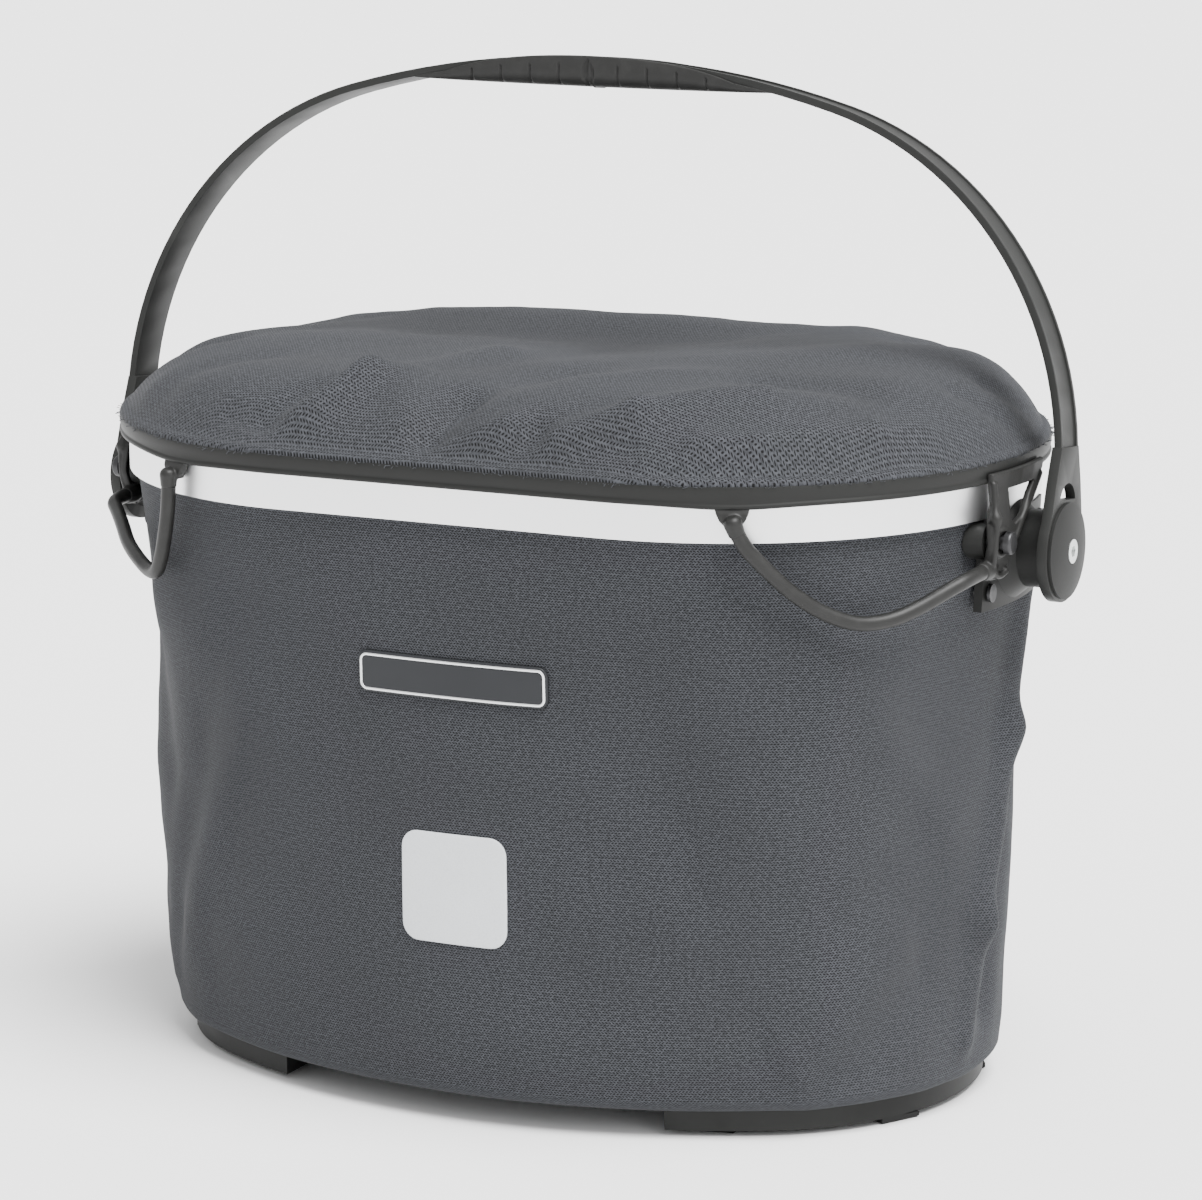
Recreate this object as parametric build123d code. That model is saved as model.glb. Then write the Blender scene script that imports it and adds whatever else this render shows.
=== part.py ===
"""Handlebar basket.

An oblong fabric bag hangs from an aluminium rim band and stands on two skids.
A crowned fabric lid in a moulded rim lifts off; rubber latches hold it to
studs beside the handle pivots.  A strap handle swings from front to back on
two bolts.  The rear plate hooks onto a handlebar bracket.

X is the width, -Y the front, +Z up.  The origin is on the ground under the
middle of the whole object.  Sizes are in millimetres.
"""
import os
from math import hypot, pi, radians, sqrt, tan

from build123d import *

# ---- Rim and bag -----------------------------------------------------------
RIM_HALF_WIDTH = 190.0        # outer face of the rim band, end to middle
RIM_HALF_DEPTH = 122.0        # outer face of the rim band, front to middle
BAND_HEIGHT = 18.0
BAND_WALL = 2.5
BAND_TOP_EDGE = 1.2           # rounding of its upper outer edge
BAND_BOTTOM_Z = 239.0         # lower edge of the rim band above the ground

BAG_WALL = 2.0                # coated fabric
BAG_FLOOR = 2.0
BAG_BOTTOM_Z = 11.7
BASE_TAPER_X = 14.4           # bottom edge, in from the rim band at each end
BASE_TAPER_Y = 3.4            # bottom edge, in from the rim band at front and back
BASE_ROUNDER = 22.4           # its ends curve this much tighter than the rim's
LINER_WALL = 2.0
FIT = 0.1                     # gap between parts that are fastened together

BOARD_THICKNESS = 3.0
BOARD_GAP = 1.0               # bottom board to the bag's wall
BACK_BOARD_THICKNESS = 2.0
BACK_BOARD_HALF_WIDTH = 80.0
BACK_BOARD_HEIGHT = 112.0
BACK_BOARD_DROP = 7.0         # its top edge below the rim band

# ---- Handle and its pivots ---------------------------------------------------
PIVOT_DROP = 15.5             # pivot axis below the rim band
LEG_STANDOFF = 18.7           # end of the rim band to the outer face of each leg
HANDLE_RISE = 181.0           # pivot axis to the top of the arch
HANDLE_TOP_RADIUS = 390.0
HANDLE_SHOULDER_RADIUS = 140.0
HANDLE_WIDTH = 18.0
HANDLE_THICKNESS = 3.0
HANDLE_CHANNEL_DEPTH = 0.8    # the outer face lies below its two raised edges
HANDLE_EDGE = 1.8
HANDLE_LEAN = 6.5             # degrees towards the back, as it is left standing

EYE_RADIUS = 20.0
EYE_THICKNESS = 4.1
NECK_HEIGHT = 40.0            # where the eye plate has narrowed to the strap
NECK_LOW_HEIGHT = 11.0
STRAP_START = 15.0            # the strap begins this far above the pivot
NECK_FLARE = 4.2              # eye plate past the strap's edge, level with the window
WINDOW_HALF_WIDTH = 8.0
WINDOW_TOP = 26.0
WINDOW_SILL = 1.0             # cap's edge to the window
CAP_RADIUS = 18.7
CAP_EDGE = 1.2
CAP_THICKNESS = 3.1
CAP_FLAT = 0.4                # flat ring round the bolt's head
CAP_SHOULDER = 0.6            # fall of the dome half way out
CAP_GAP = 0.1
WASHER_RADIUS = 14.0
WASHER_THICKNESS = 1.0
BUSH_RADIUS = 7.0
BUSH_CLEARANCE = 0.05
BOLT_RADIUS = 3.0
BOLT_HEAD_RADIUS = 4.7
BOLT_HEAD_HEIGHT = 1.7
BOLT_SOCKET_FLATS = 4.0
BOLT_SOCKET_DEPTH = 1.5
BOLT_PROUD = 0.2              # head stands this far out of the cap
BOLT_END = 1.0                # thread past the nut
BOLT_CLEARANCE = 0.1
NUT_FLATS = 10.0
NUT_HEIGHT = 5.0
BACKING_RADIUS = 12.0
BACKING_THICKNESS = 2.0
BACKING_GAP = 1.2             # the bag's wall slopes in below the rim

GRIP_DEPTH = 7.8              # below the strap, at the middle
GRIP_WIDTH = 19.0
GRIP_EDGE_RADIUS = 3.5
GROOVE_PITCH = 13.0
GROOVES_PER_SIDE = 4
GROOVE_WIDTH = 1.4
GROOVE_DEPTH = 0.9
GROOVE_REACH = 5.6            # the grooves run this far up the grip's sides
CENTRE_GROOVE_WIDTH = 4.0

# ---- Pivot housing and latch stud ----------------------------------------------
BOSS_RADIUS = 15.0
BOSS_ROOT_RADIUS = 22.0
BOSS_ROOT_LENGTH = 8.0
HOUSING_PAD_THICKNESS = 3.5
HOUSING_FRONT = 28.0          # pad reach to the front and back of the pivot
HOUSING_BACK = 30.0
HOUSING_DROP = 21.0           # pad reach below the pivot axis
STUD_Y = -30.0                # latch stud, in front of the pivot
STUD_RISE = 7.5               # latch stud above the pivot
STUD_RADIUS = 2.8
STUD_HEAD_RADIUS = 4.4
STUD_HEAD_HEIGHT = 3.0
STUD_CROWN = 1.2              # rounding of its head
STUD_HEAD_GAP = 0.3           # latch to the underside of the head
STUD_ROOT_GAP = 0.6           # bag to the inner end of the shank
STUD_BOSS_RADIUS = 7.0
STUD_BOSS_HEIGHT = 2.0
RIVET_RADIUS = 2.0
RIVET_EDGE = 4.6
RIVET_LOW = -14.0             # rivet heights, from the pivot axis
RIVET_HIGH = 7.0
RIVET_HEAD_RADIUS = 3.6
RIVET_HEAD_HEIGHT = 1.2
RIVET_OUTER_GAP = 0.4         # the pad's face slopes away under the head
RIVET_INNER_GAP = 0.9         # the bag's wall slopes away behind it

# ---- Lid, latches and pull cords -------------------------------------------------
LID_GAP = 0.6                 # lid rim to rim band, all round
LID_SKIRT = 2.8
LID_OVERLAP = 3.5             # the outer skirt reaches this far down the band
LID_HEIGHT = 6.0              # lid rim above the band
LID_REST_GAP = 0.3
LID_INNER_DROP = 5.0
LID_TOP_EDGE = 2.2            # rounding of its upper outer edge
CLOTH_INSET = 3.0             # lid cloth, in from the rim band's outer face
LID_CLOTH = 1.6
CROWN_HEIGHT = 34.0
CROWN_FULLNESS = 4
CROWN_STEPS = (0.0, 0.05, 0.12, 0.22, 0.36, 0.6)
TAB_OUT = 53.6                # tabs, out from where the rim's front turns
TAB_TOP_WIDTH = 13.0
TAB_FOOT_WIDTH = 7.0
TAB_THICKNESS = 6.4
TAB_DROP = 8.0

LATCH_THICKNESS = 2.6
LATCH_TOP_STANDOFF = 0.2      # lid rim face to the latch's inner face, at the top
LATCH_STUD_FLARE = 2.6        # how much further out it stands at the stud
LATCH_FOOT_FLARE = -0.9       # the cord's pull draws its foot in again
LATCH_DROP = 36.5
LATCH_FRONT = -32.0           # strap edges in front of and behind the pivot
LATCH_BACK = 9.0
LATCH_STRAP_BACK = -23.0      # back edge of the strap round the stud
LATCH_EYELET = 3.5            # bulge on the front edge, above the stud
LATCH_WINDOW_FRONT = -19.0
LATCH_BAR = 3.0               # bar above the window
LATCH_HOLE_RADIUS = 3.2
LATCH_RING_RADIUS = 6.0       # ring of strap left round the stud's hole
SOCKET_RADIUS = 3.8
SOCKET_LENGTH = 6.0
SOCKET_OUT = 0.96             # its axis outside the middle of the strap
SOCKET_RISE = 3.7             # its axis above the latch's foot

CORD_RADIUS = 2.9

# ---- Base, front and coupling --------------------------------------------------
SKID_INSET = 6.0
SKID_INNER_X = 84.0
SKID_RIB_X = 40.0             # cross rib, out from the skid's straight side
SKID_RIB_Y = 44.0             # long ribs, each side of the middle one
SKID_CORNER = 14.0
SKID_TOP_GAP = 0.1
SKID_WALL = 3.0
SKID_WEB = 3.0
SKID_RIB = 2.6
FOOT_HEIGHT = 2.5
FOOT_LENGTH = 18.0
FOOT_WIDTH = 9.0
FOOT_EDGE = 0.8               # chamfer of its lower edges
BASE_SCREW_RADIUS = 2.0
BASE_SCREW_HEAD_RADIUS = 4.0
BASE_SCREW_HEAD_HEIGHT = 2.2
BASE_SCREW_SUNK = 0.3         # heads lie above the feet's top
BASE_SCREW_END = 0.5          # thread past the nut
SLOT_WIDTH = 1.0              # cross recess in every screw head
SLOT_SHARE = 0.55             # its length, of the head's diameter
BASE_NUT_FLATS = 7.0
BASE_NUT_HEIGHT = 3.2
BASE_BOSS_RADIUS = 6.0
SIDE_SCREW_INSET = 14.0       # two screws, from the skid's straight side
SIDE_SCREW_Y = 52.0
END_SCREW_INSET = 22.0        # one screw, from the skid's round end
SIDE_FOOT = (14.0, 30.6, 12.0)    # inset from the straight side, inset from the front, turn
END_FOOT = (14.0, 40.0, 60.0)     # inset from the round end, Y, turn

PLATE_CENTRE = (4.5, 178.0)
PLATE_SIZE = (82.0, 16.5)
PLATE_CORNER = 4.0
PLATE_THICKNESS = 1.4
REFLECTOR_CENTRE = (4.5, 95.0)
REFLECTOR_SIZE = (45.0, 44.0)
REFLECTOR_CORNER = 7.0
REFLECTOR_THICKNESS = 0.8

COUPLING_HALF_WIDTH = 55.0
COUPLING_TOP_DROP = 13.0      # its top edge below the rim band
COUPLING_HEIGHT = 86.0
COUPLING_THICKNESS = 7.0      # from the middle of the bag's back
COUPLING_CORNER = 10.0
BAR_RADIUS = 6.0              # cross bar of the handlebar bracket
BAR_CLEARANCE = 0.2
BAR_GAP = 1.0                 # bar to the plate's rear face
BAR_DROP = 20.0               # bar below the plate's top edge
HOOK_WALL = 3.6
HOOK_WIDTH = 16.0
HOOK_X = 35.0
HOOK_LIP = 9.0
NOTCH_SIZE = (34.0, 9.0, 3.0)
NOTCH_RISE = 12.0             # lock notch above the plate's lower edge
COUPLING_SCREW_RADIUS = 2.5
COUPLING_SCREW_HEAD_RADIUS = 4.6
COUPLING_SCREW_HEAD_HEIGHT = 2.6
COUPLING_SCREW_END = 1.5      # thread past the nut
COUPLING_SCREW_X = 45.0
COUPLING_SCREW_RISES = (10.0, 50.0)   # above the plate's lower edge
COUPLING_NUT_FLATS = 8.0
COUPLING_NUT_HEIGHT = 4.0

# ---- Worked out from the sizes above ----------------------------------------------
STRAIGHT_HALF = RIM_HALF_WIDTH - RIM_HALF_DEPTH
BAND_TOP_Z = BAND_BOTTOM_Z + BAND_HEIGHT
BASE_HALF_WIDTH = RIM_HALF_WIDTH - BASE_TAPER_X
BASE_HALF_DEPTH = RIM_HALF_DEPTH - BASE_TAPER_Y
BASE_END_RADIUS = RIM_HALF_DEPTH - BASE_ROUNDER
BEYOND = RIM_HALF_WIDTH + RIM_HALF_DEPTH       # cutting blocks reach past everything
WIDE = (-BEYOND, BEYOND)
BAG_OUTSET = -(BAND_WALL + FIT)               # bag's outer face against the band's
BAG_INSET = BAG_OUTSET - BAG_WALL
LINER_OUTSET = BAG_INSET - FIT
LINER_INSET = LINER_OUTSET - LINER_WALL
BACK_BOARD_INSET = BAG_INSET - FIT - BACK_BOARD_THICKNESS
FLOOR_TOP_Z = BAG_BOTTOM_Z + BAG_FLOOR
BOARD_TOP_Z = FLOOR_TOP_Z + FIT + BOARD_THICKNESS
BACK_BOARD_TOP_Z = BAND_BOTTOM_Z - BACK_BOARD_DROP
BACK_BOARD_BOTTOM_Z = BACK_BOARD_TOP_Z - BACK_BOARD_HEIGHT

PIVOT_Z = BAND_BOTTOM_Z - PIVOT_DROP
STUD_Z = PIVOT_Z + STUD_RISE
HANDLE_HALF_SPAN = RIM_HALF_WIDTH + LEG_STANDOFF
EYE_INNER_X = HANDLE_HALF_SPAN - EYE_THICKNESS
WASHER_OUTER_X = EYE_INNER_X - CAP_GAP
WASHER_INNER_X = WASHER_OUTER_X - WASHER_THICKNESS
BOSS_END_X = WASHER_INNER_X - FIT / 2
CAP_INNER_X = HANDLE_HALF_SPAN + CAP_GAP
CAP_OUTER_X = CAP_INNER_X + CAP_THICKNESS

LID_OUTER = LID_GAP + LID_SKIRT
LID_BOTTOM_Z = BAND_TOP_Z - LID_OVERLAP
LID_TOP_Z = BAND_TOP_Z + LID_HEIGHT
LID_INNER_FACE = LINER_INSET - LID_GAP
LATCH_TOP_Z = LID_BOTTOM_Z - FIT
LATCH_FOOT_Z = LATCH_TOP_Z - LATCH_DROP
TAB_X = STRAIGHT_HALF + TAB_OUT                # where the pull cords start

COUPLING_TOP_Z = BAND_BOTTOM_Z - COUPLING_TOP_DROP
COUPLING_BOTTOM_Z = COUPLING_TOP_Z - COUPLING_HEIGHT
COUPLING_BACK_Y = RIM_HALF_DEPTH + BAG_OUTSET + COUPLING_THICKNESS
BAR_CENTRE_Y = COUPLING_BACK_Y + BAR_RADIUS + BAR_CLEARANCE + BAR_GAP
BAR_Z = COUPLING_TOP_Z - BAR_DROP
NOTCH_Z = COUPLING_BOTTOM_Z + NOTCH_RISE
REAR_REACH = BAR_CENTRE_Y + BAR_RADIUS + BAR_CLEARANCE + HOOK_WALL
LID_FRONT_REACH = RIM_HALF_DEPTH + LID_OUTER
BASKET_Y = (LID_FRONT_REACH - REAR_REACH) / 2  # puts the whole object's middle on the origin

# Pull cords: points from the lid tab to the latch foot, around the bag.
RIGHT_CORD_POINTS = [
    (121.6, -116.2, 248.5), (124.2, -114.9, 240.5), (131.4, -110.6, 231.4),
    (140.4, -104.6, 220.8), (150.0, -97.0, 212.4), (159.6, -88.0, 207.2),
    (168.6, -77.6, 207.4), (176.6, -67.6, 211.4), (184.2, -58.6, 216.8),
    (190.0, -49.4, 220.6), (190.0, -38.0, 220.6),
]
LEFT_CORD_POINTS = [
    (-121.6, -116.2, 248.5), (-122.2, -115.8, 237.0), (-124.6, -114.4, 225.6),
    (-128.2, -112.0, 214.6), (-132.6, -108.6, 206.4), (-139.7, -102.9, 204.9),
    (-150.8, -94.2, 208.2), (-162.4, -82.5, 211.2), (-172.7, -69.3, 214.8),
    (-182.6, -57.4, 218.0), (-190.0, -49.4, 220.6), (-190.0, -38.0, 220.6),
]


# ---- Outlines ------------------------------------------------------------------
def oblong(outset, z):
    """The rim's outline, straight front and back with round ends, at height z."""
    width = 2 * (RIM_HALF_WIDTH + outset)
    depth = 2 * (RIM_HALF_DEPTH + outset)
    return Plane.XY.offset(z) * SlotOverall(width, depth)


def oblong_wire(outset, z):
    """The rim's outline as four edges that match those of the base outline."""
    r = RIM_HALF_DEPTH + outset
    s = STRAIGHT_HALF
    return Wire([
        Line((s, -r, z), (-s, -r, z)),
        ThreePointArc((-s, -r, z), (-s - r, 0, z), (-s, r, z)),
        Line((-s, r, z), (s, r, z)),
        ThreePointArc((s, r, z), (s + r, 0, z), (s, -r, z)),
    ])


def base_wire(outset, z):
    """The bag's bottom outline: a rounder oval of four tangent arcs."""
    width = BASE_HALF_WIDTH + outset
    depth = BASE_HALF_DEPTH + outset
    end = BASE_END_RADIUS + outset
    end_x = width - end
    side = (end_x**2 + depth**2 - end**2) / (2 * (depth - end))
    reach = hypot(end_x, side - depth)
    x = end_x / reach * side
    y = side * (side - depth) / reach - (side - depth)
    return Wire([
        ThreePointArc((x, -y, z), (0, -depth, z), (-x, -y, z)),
        ThreePointArc((-x, -y, z), (-width, 0, z), (-x, y, z)),
        ThreePointArc((-x, y, z), (0, depth, z), (x, y, z)),
        ThreePointArc((x, y, z), (width, 0, z), (x, -y, z)),
    ])


def ring(outset, inset, z_low, z_high):
    """A band that follows the rim, between two offsets of its outline."""
    outer = extrude(oblong(outset, z_low), z_high - z_low)
    return outer - extrude(oblong(inset, z_low), z_high - z_low)


def bag_form(outset):
    """The space inside an offset of the bag's outer face, below the band."""
    top = Face(oblong_wire(BAG_OUTSET + outset, BAND_BOTTOM_Z))
    bottom = Face(base_wire(outset, BAG_BOTTOM_Z))
    return loft([bottom, top], ruled=True)


def block(x, y, z):
    """A box between two values on each axis."""
    size = [high - low for low, high in (x, y, z)]
    middle = [(high + low) / 2 for low, high in (x, y, z)]
    return Pos(*middle) * Box(*size)


def rod_x(radius, x_low, x_high, y, z):
    """A cylinder along X."""
    return Pos((x_low + x_high) / 2, y, z) * Rot(0, 90, 0) * Cylinder(radius, x_high - x_low)


def rod_y(radius, y_low, y_high, x, z):
    """A cylinder along Y."""
    return Pos(x, (y_low + y_high) / 2, z) * Rot(90, 0, 0) * Cylinder(radius, y_high - y_low)


def hex_x(flats, x_low, x_high, y, z):
    """A hexagonal prism along X."""
    plane = Plane((x_low, y, z), x_dir=(0, 1, 0), z_dir=(1, 0, 0))
    return extrude(plane * hexagon(flats), x_high - x_low)


def hexagon(flats):
    return RegularPolygon(flats / 2, 6, major_radius=False)


# ---- Bag and rim ------------------------------------------------------------------
def pivot_holes(radius):
    """Holes through both ends of the basket for the pivot bolts."""
    reach = RIM_HALF_WIDTH + HOUSING_FRONT
    return rod_x(radius, -reach, reach, 0, PIVOT_Z)


def rivet_places():
    """Rivets of the right housing, beside the pivot on the pad."""
    front = -(HOUSING_FRONT - RIVET_EDGE)
    back = HOUSING_BACK - RIVET_EDGE
    return [(front, PIVOT_Z + RIVET_LOW), (back, PIVOT_Z + RIVET_LOW), (back, PIVOT_Z + RIVET_HIGH)]


def rivet_rods(radius):
    rods = [rod_x(radius, STRAIGHT_HALF, BEYOND, y, z) for y, z in rivet_places()]
    right = Compound(rods)
    return right + mirror(right, about=Plane.YZ)


def coupling_places():
    heights = [COUPLING_BOTTOM_Z + rise for rise in COUPLING_SCREW_RISES]
    return [(side * COUPLING_SCREW_X, z) for side in (-1, 1) for z in heights]


def coupling_rods(radius, y_low=0.0, y_high=BEYOND):
    return [rod_y(radius, y_low, y_high, x, z) for x, z in coupling_places()]


def base_screw_places():
    """Three screws in each skid: two near its straight side and one near its end."""
    side_x = SKID_INNER_X + SIDE_SCREW_INSET
    far_x = BASE_HALF_WIDTH - SKID_INSET - END_SCREW_INSET
    right = [(side_x, -SIDE_SCREW_Y), (side_x, SIDE_SCREW_Y), (far_x, 0)]
    return right + [(-x, y) for x, y in right]


def base_rods(radius, z_low=0.0, z_high=2 * BOARD_TOP_Z):
    rod = Pos(0, 0, (z_low + z_high) / 2) * Cylinder(radius, z_high - z_low)
    return [Pos(x, y, 0) * rod for x, y in base_screw_places()]


def make_bag():
    collar = extrude(oblong(BAG_OUTSET, BAND_BOTTOM_Z), BAND_HEIGHT - FIT)
    outer = bag_form(0) + collar
    cavity = bag_form(-BAG_WALL) + extrude(oblong(BAG_INSET, BAND_BOTTOM_Z), BAND_HEIGHT)
    floor = block(WIDE, WIDE, (0, FLOOR_TOP_Z))
    bag = outer - (cavity - floor)
    bag -= pivot_holes(BOLT_RADIUS + BOLT_CLEARANCE)
    bag -= rivet_rods(RIVET_RADIUS + FIT)
    for rod in coupling_rods(COUPLING_SCREW_RADIUS + FIT):
        bag -= rod
    for rod in base_rods(BASE_SCREW_RADIUS + FIT):
        bag -= rod
    return bag


def make_bottom_board():
    slab = block(WIDE, WIDE, (FLOOR_TOP_Z + FIT, BOARD_TOP_Z))
    board = bag_form(-BAG_WALL - BOARD_GAP) & slab
    for rod in base_rods(BASE_SCREW_RADIUS + FIT):
        board -= rod
    return board


def make_back_board():
    width = (-BACK_BOARD_HALF_WIDTH, BACK_BOARD_HALF_WIDTH)
    region = block(width, (0, BEYOND), (BACK_BOARD_BOTTOM_Z, BACK_BOARD_TOP_Z))
    inset = BAG_WALL + FIT
    board = (bag_form(-inset) - bag_form(-inset - BACK_BOARD_THICKNESS)) & region
    for rod in coupling_rods(COUPLING_SCREW_RADIUS + FIT):
        board -= rod
    return board


def make_rim_band():
    band = ring(0, -BAND_WALL, BAND_BOTTOM_Z, BAND_TOP_Z)
    outer_edges = band.faces().sort_by(Axis.Z)[-1].outer_wire().edges()
    return fillet(outer_edges, BAND_TOP_EDGE)


def make_rim_liner():
    return ring(LINER_OUTSET, LINER_INSET, BAND_BOTTOM_Z, BAND_TOP_Z - FIT)


# ---- Pivots -----------------------------------------------------------------------
def boss_root():
    """Flare where the right boss grows out of its pad."""
    middle_x = RIM_HALF_WIDTH + BAG_OUTSET + BOSS_ROOT_LENGTH / 2 - 1
    cone = Cone(BOSS_ROOT_RADIUS, BOSS_RADIUS, BOSS_ROOT_LENGTH)
    return Pos(middle_x, 0, PIVOT_Z) * Rot(0, 90, 0) * cone


def make_pivot_housing():
    """Right housing: a pad that hugs the bag, a flared boss and the stud's boss."""
    wall_x = RIM_HALF_WIDTH + BAG_OUTSET
    heights = (PIVOT_Z - HOUSING_DROP, BAND_BOTTOM_Z - FIT)
    pad_region = block((STRAIGHT_HALF, BEYOND), (-HOUSING_FRONT, HOUSING_BACK), heights)
    pad = bag_form(HOUSING_PAD_THICKNESS) & pad_region
    boss = rod_x(BOSS_RADIUS, wall_x - BOSS_RADIUS, BOSS_END_X, 0, PIVOT_Z)
    stud_boss = rod_x(STUD_BOSS_RADIUS, STRAIGHT_HALF, stud_face_x() + STUD_BOSS_HEIGHT, STUD_Y, STUD_Z)
    housing = pad + boss + boss_root() + stud_boss
    housing -= bag_form(FIT)
    housing -= extrude(oblong(FIT, BAND_BOTTOM_Z - FIT), BAND_HEIGHT)
    housing -= pivot_holes(BOLT_RADIUS + BOLT_CLEARANCE)
    housing -= rod_x(STUD_RADIUS + FIT, STRAIGHT_HALF, BEYOND, STUD_Y, STUD_Z)
    housing -= rivet_rods(RIVET_RADIUS + FIT)
    return housing


def rim_end_x(outset, y):
    """X of the rim's offset outline at the right end, at a given Y."""
    radius = RIM_HALF_DEPTH + outset
    return STRAIGHT_HALF + sqrt(radius**2 - y**2)


def stud_face_x():
    return rim_end_x(BAG_OUTSET + HOUSING_PAD_THICKNESS, STUD_Y)


def make_latch_stud():
    outset = LID_OUTER + LATCH_TOP_STANDOFF + LATCH_STUD_FLARE + LATCH_THICKNESS
    head_x = rim_end_x(outset, STUD_Y + STUD_HEAD_RADIUS) + STUD_HEAD_GAP
    shank = rod_x(STUD_RADIUS, rim_end_x(BAG_OUTSET, STUD_Y) + STUD_ROOT_GAP, head_x + 1, STUD_Y, STUD_Z)
    head = rod_x(STUD_HEAD_RADIUS, head_x, head_x + STUD_HEAD_HEIGHT, STUD_Y, STUD_Z)
    crown = head.faces().sort_by(Axis.X)[-1].edges()
    return shank + fillet(crown, STUD_CROWN)


def make_bush():
    ends = (BOSS_END_X + FIT / 2, HANDLE_HALF_SPAN + FIT / 2)
    bush = rod_x(BUSH_RADIUS - BUSH_CLEARANCE, *ends, 0, PIVOT_Z)
    return bush - pivot_holes(BOLT_RADIUS + BOLT_CLEARANCE)


def make_friction_washer():
    washer = rod_x(WASHER_RADIUS, WASHER_INNER_X, WASHER_OUTER_X, 0, PIVOT_Z)
    return washer - pivot_holes(BUSH_RADIUS + FIT)


def make_cap():
    """Domed cap with a recess for the bolt's head."""
    edge_x = CAP_INNER_X + CAP_EDGE
    flat_radius = BOLT_HEAD_RADIUS + CAP_FLAT
    shoulder = ((CAP_RADIUS + BOLT_HEAD_RADIUS) / 2, CAP_OUTER_X - CAP_SHOULDER)
    profile = make_face([
        Line((0, CAP_INNER_X), (CAP_RADIUS, CAP_INNER_X)),
        Line((CAP_RADIUS, CAP_INNER_X), (CAP_RADIUS, edge_x)),
        ThreePointArc((CAP_RADIUS, edge_x), shoulder, (flat_radius, CAP_OUTER_X)),
        Line((flat_radius, CAP_OUTER_X), (0, CAP_OUTER_X)),
        Line((0, CAP_OUTER_X), (0, CAP_INNER_X)),
    ])
    turned = revolve(profile, Axis.Y)
    cap = Pos(0, 0, PIVOT_Z) * Rot(0, 0, -90) * turned
    cap -= rod_x(BOLT_HEAD_RADIUS + FIT, CAP_OUTER_X - BOLT_HEAD_HEIGHT, BEYOND, 0, PIVOT_Z)
    return cap - pivot_holes(BOLT_RADIUS + BOLT_CLEARANCE)


def backing_face_x():
    """Flat face inside the bag that a disc of the backing radius clears."""
    return rim_end_x(BAG_INSET, BACKING_RADIUS) - BACKING_GAP


def make_backing_washer():
    face_x = backing_face_x()
    washer = rod_x(BACKING_RADIUS, face_x - BACKING_THICKNESS, face_x, 0, PIVOT_Z)
    return washer - pivot_holes(BOLT_RADIUS + BOLT_CLEARANCE)


def make_pivot_nut():
    face_x = backing_face_x() - BACKING_THICKNESS - FIT / 2
    nut = hex_x(NUT_FLATS, face_x - NUT_HEIGHT, face_x, 0, PIVOT_Z)
    return nut - pivot_holes(BOLT_RADIUS + FIT / 2)


def make_pivot_bolt():
    head_low = CAP_OUTER_X - BOLT_HEAD_HEIGHT + FIT / 2
    head_high = CAP_OUTER_X + BOLT_PROUD
    tip_x = backing_face_x() - BACKING_THICKNESS - NUT_HEIGHT - BOLT_END
    bolt = rod_x(BOLT_RADIUS, tip_x, head_high - BOLT_SOCKET_DEPTH, 0, PIVOT_Z)
    bolt += rod_x(BOLT_HEAD_RADIUS, head_low, head_high, 0, PIVOT_Z)
    return bolt - hex_x(BOLT_SOCKET_FLATS, head_high - BOLT_SOCKET_DEPTH, BEYOND, 0, PIVOT_Z)


def make_rivets():
    """Housing rivets: a low head outside the pad and one inside the bag."""
    rivets = []
    for y, z in rivet_places():
        skin_x = wall_face_x(y, z)
        outer = skin_x + HOUSING_PAD_THICKNESS + RIVET_OUTER_GAP
        inner = skin_x - BAG_WALL - RIVET_INNER_GAP
        rivet = rod_x(RIVET_RADIUS, inner - RIVET_HEAD_HEIGHT / 2, outer + RIVET_HEAD_HEIGHT / 2, y, z)
        rivet += rod_x(RIVET_HEAD_RADIUS, outer, outer + RIVET_HEAD_HEIGHT, y, z)
        rivet += rod_x(RIVET_HEAD_RADIUS, inner - RIVET_HEAD_HEIGHT, inner, y, z)
        wall = bag_form(HOUSING_PAD_THICKNESS) - bag_form(-BAG_WALL - FIT)
        rivet -= wall - rod_x(RIVET_RADIUS, STRAIGHT_HALF, BEYOND, y, z)
        rivet -= boss_root()
        rivets += [rivet, mirror(rivet, about=Plane.YZ)]
    return Compound(rivets)


def wall_face_x(y, z):
    """X of the bag's outer face at the right end."""
    fall = (BAND_BOTTOM_Z - z) / (BAND_BOTTOM_Z - BAG_BOTTOM_Z)
    top = rim_end_x(BAG_OUTSET, y)
    base = BASE_HALF_WIDTH - BASE_END_RADIUS + sqrt(BASE_END_RADIUS**2 - y**2)
    return top + (base - top) * fall


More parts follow.
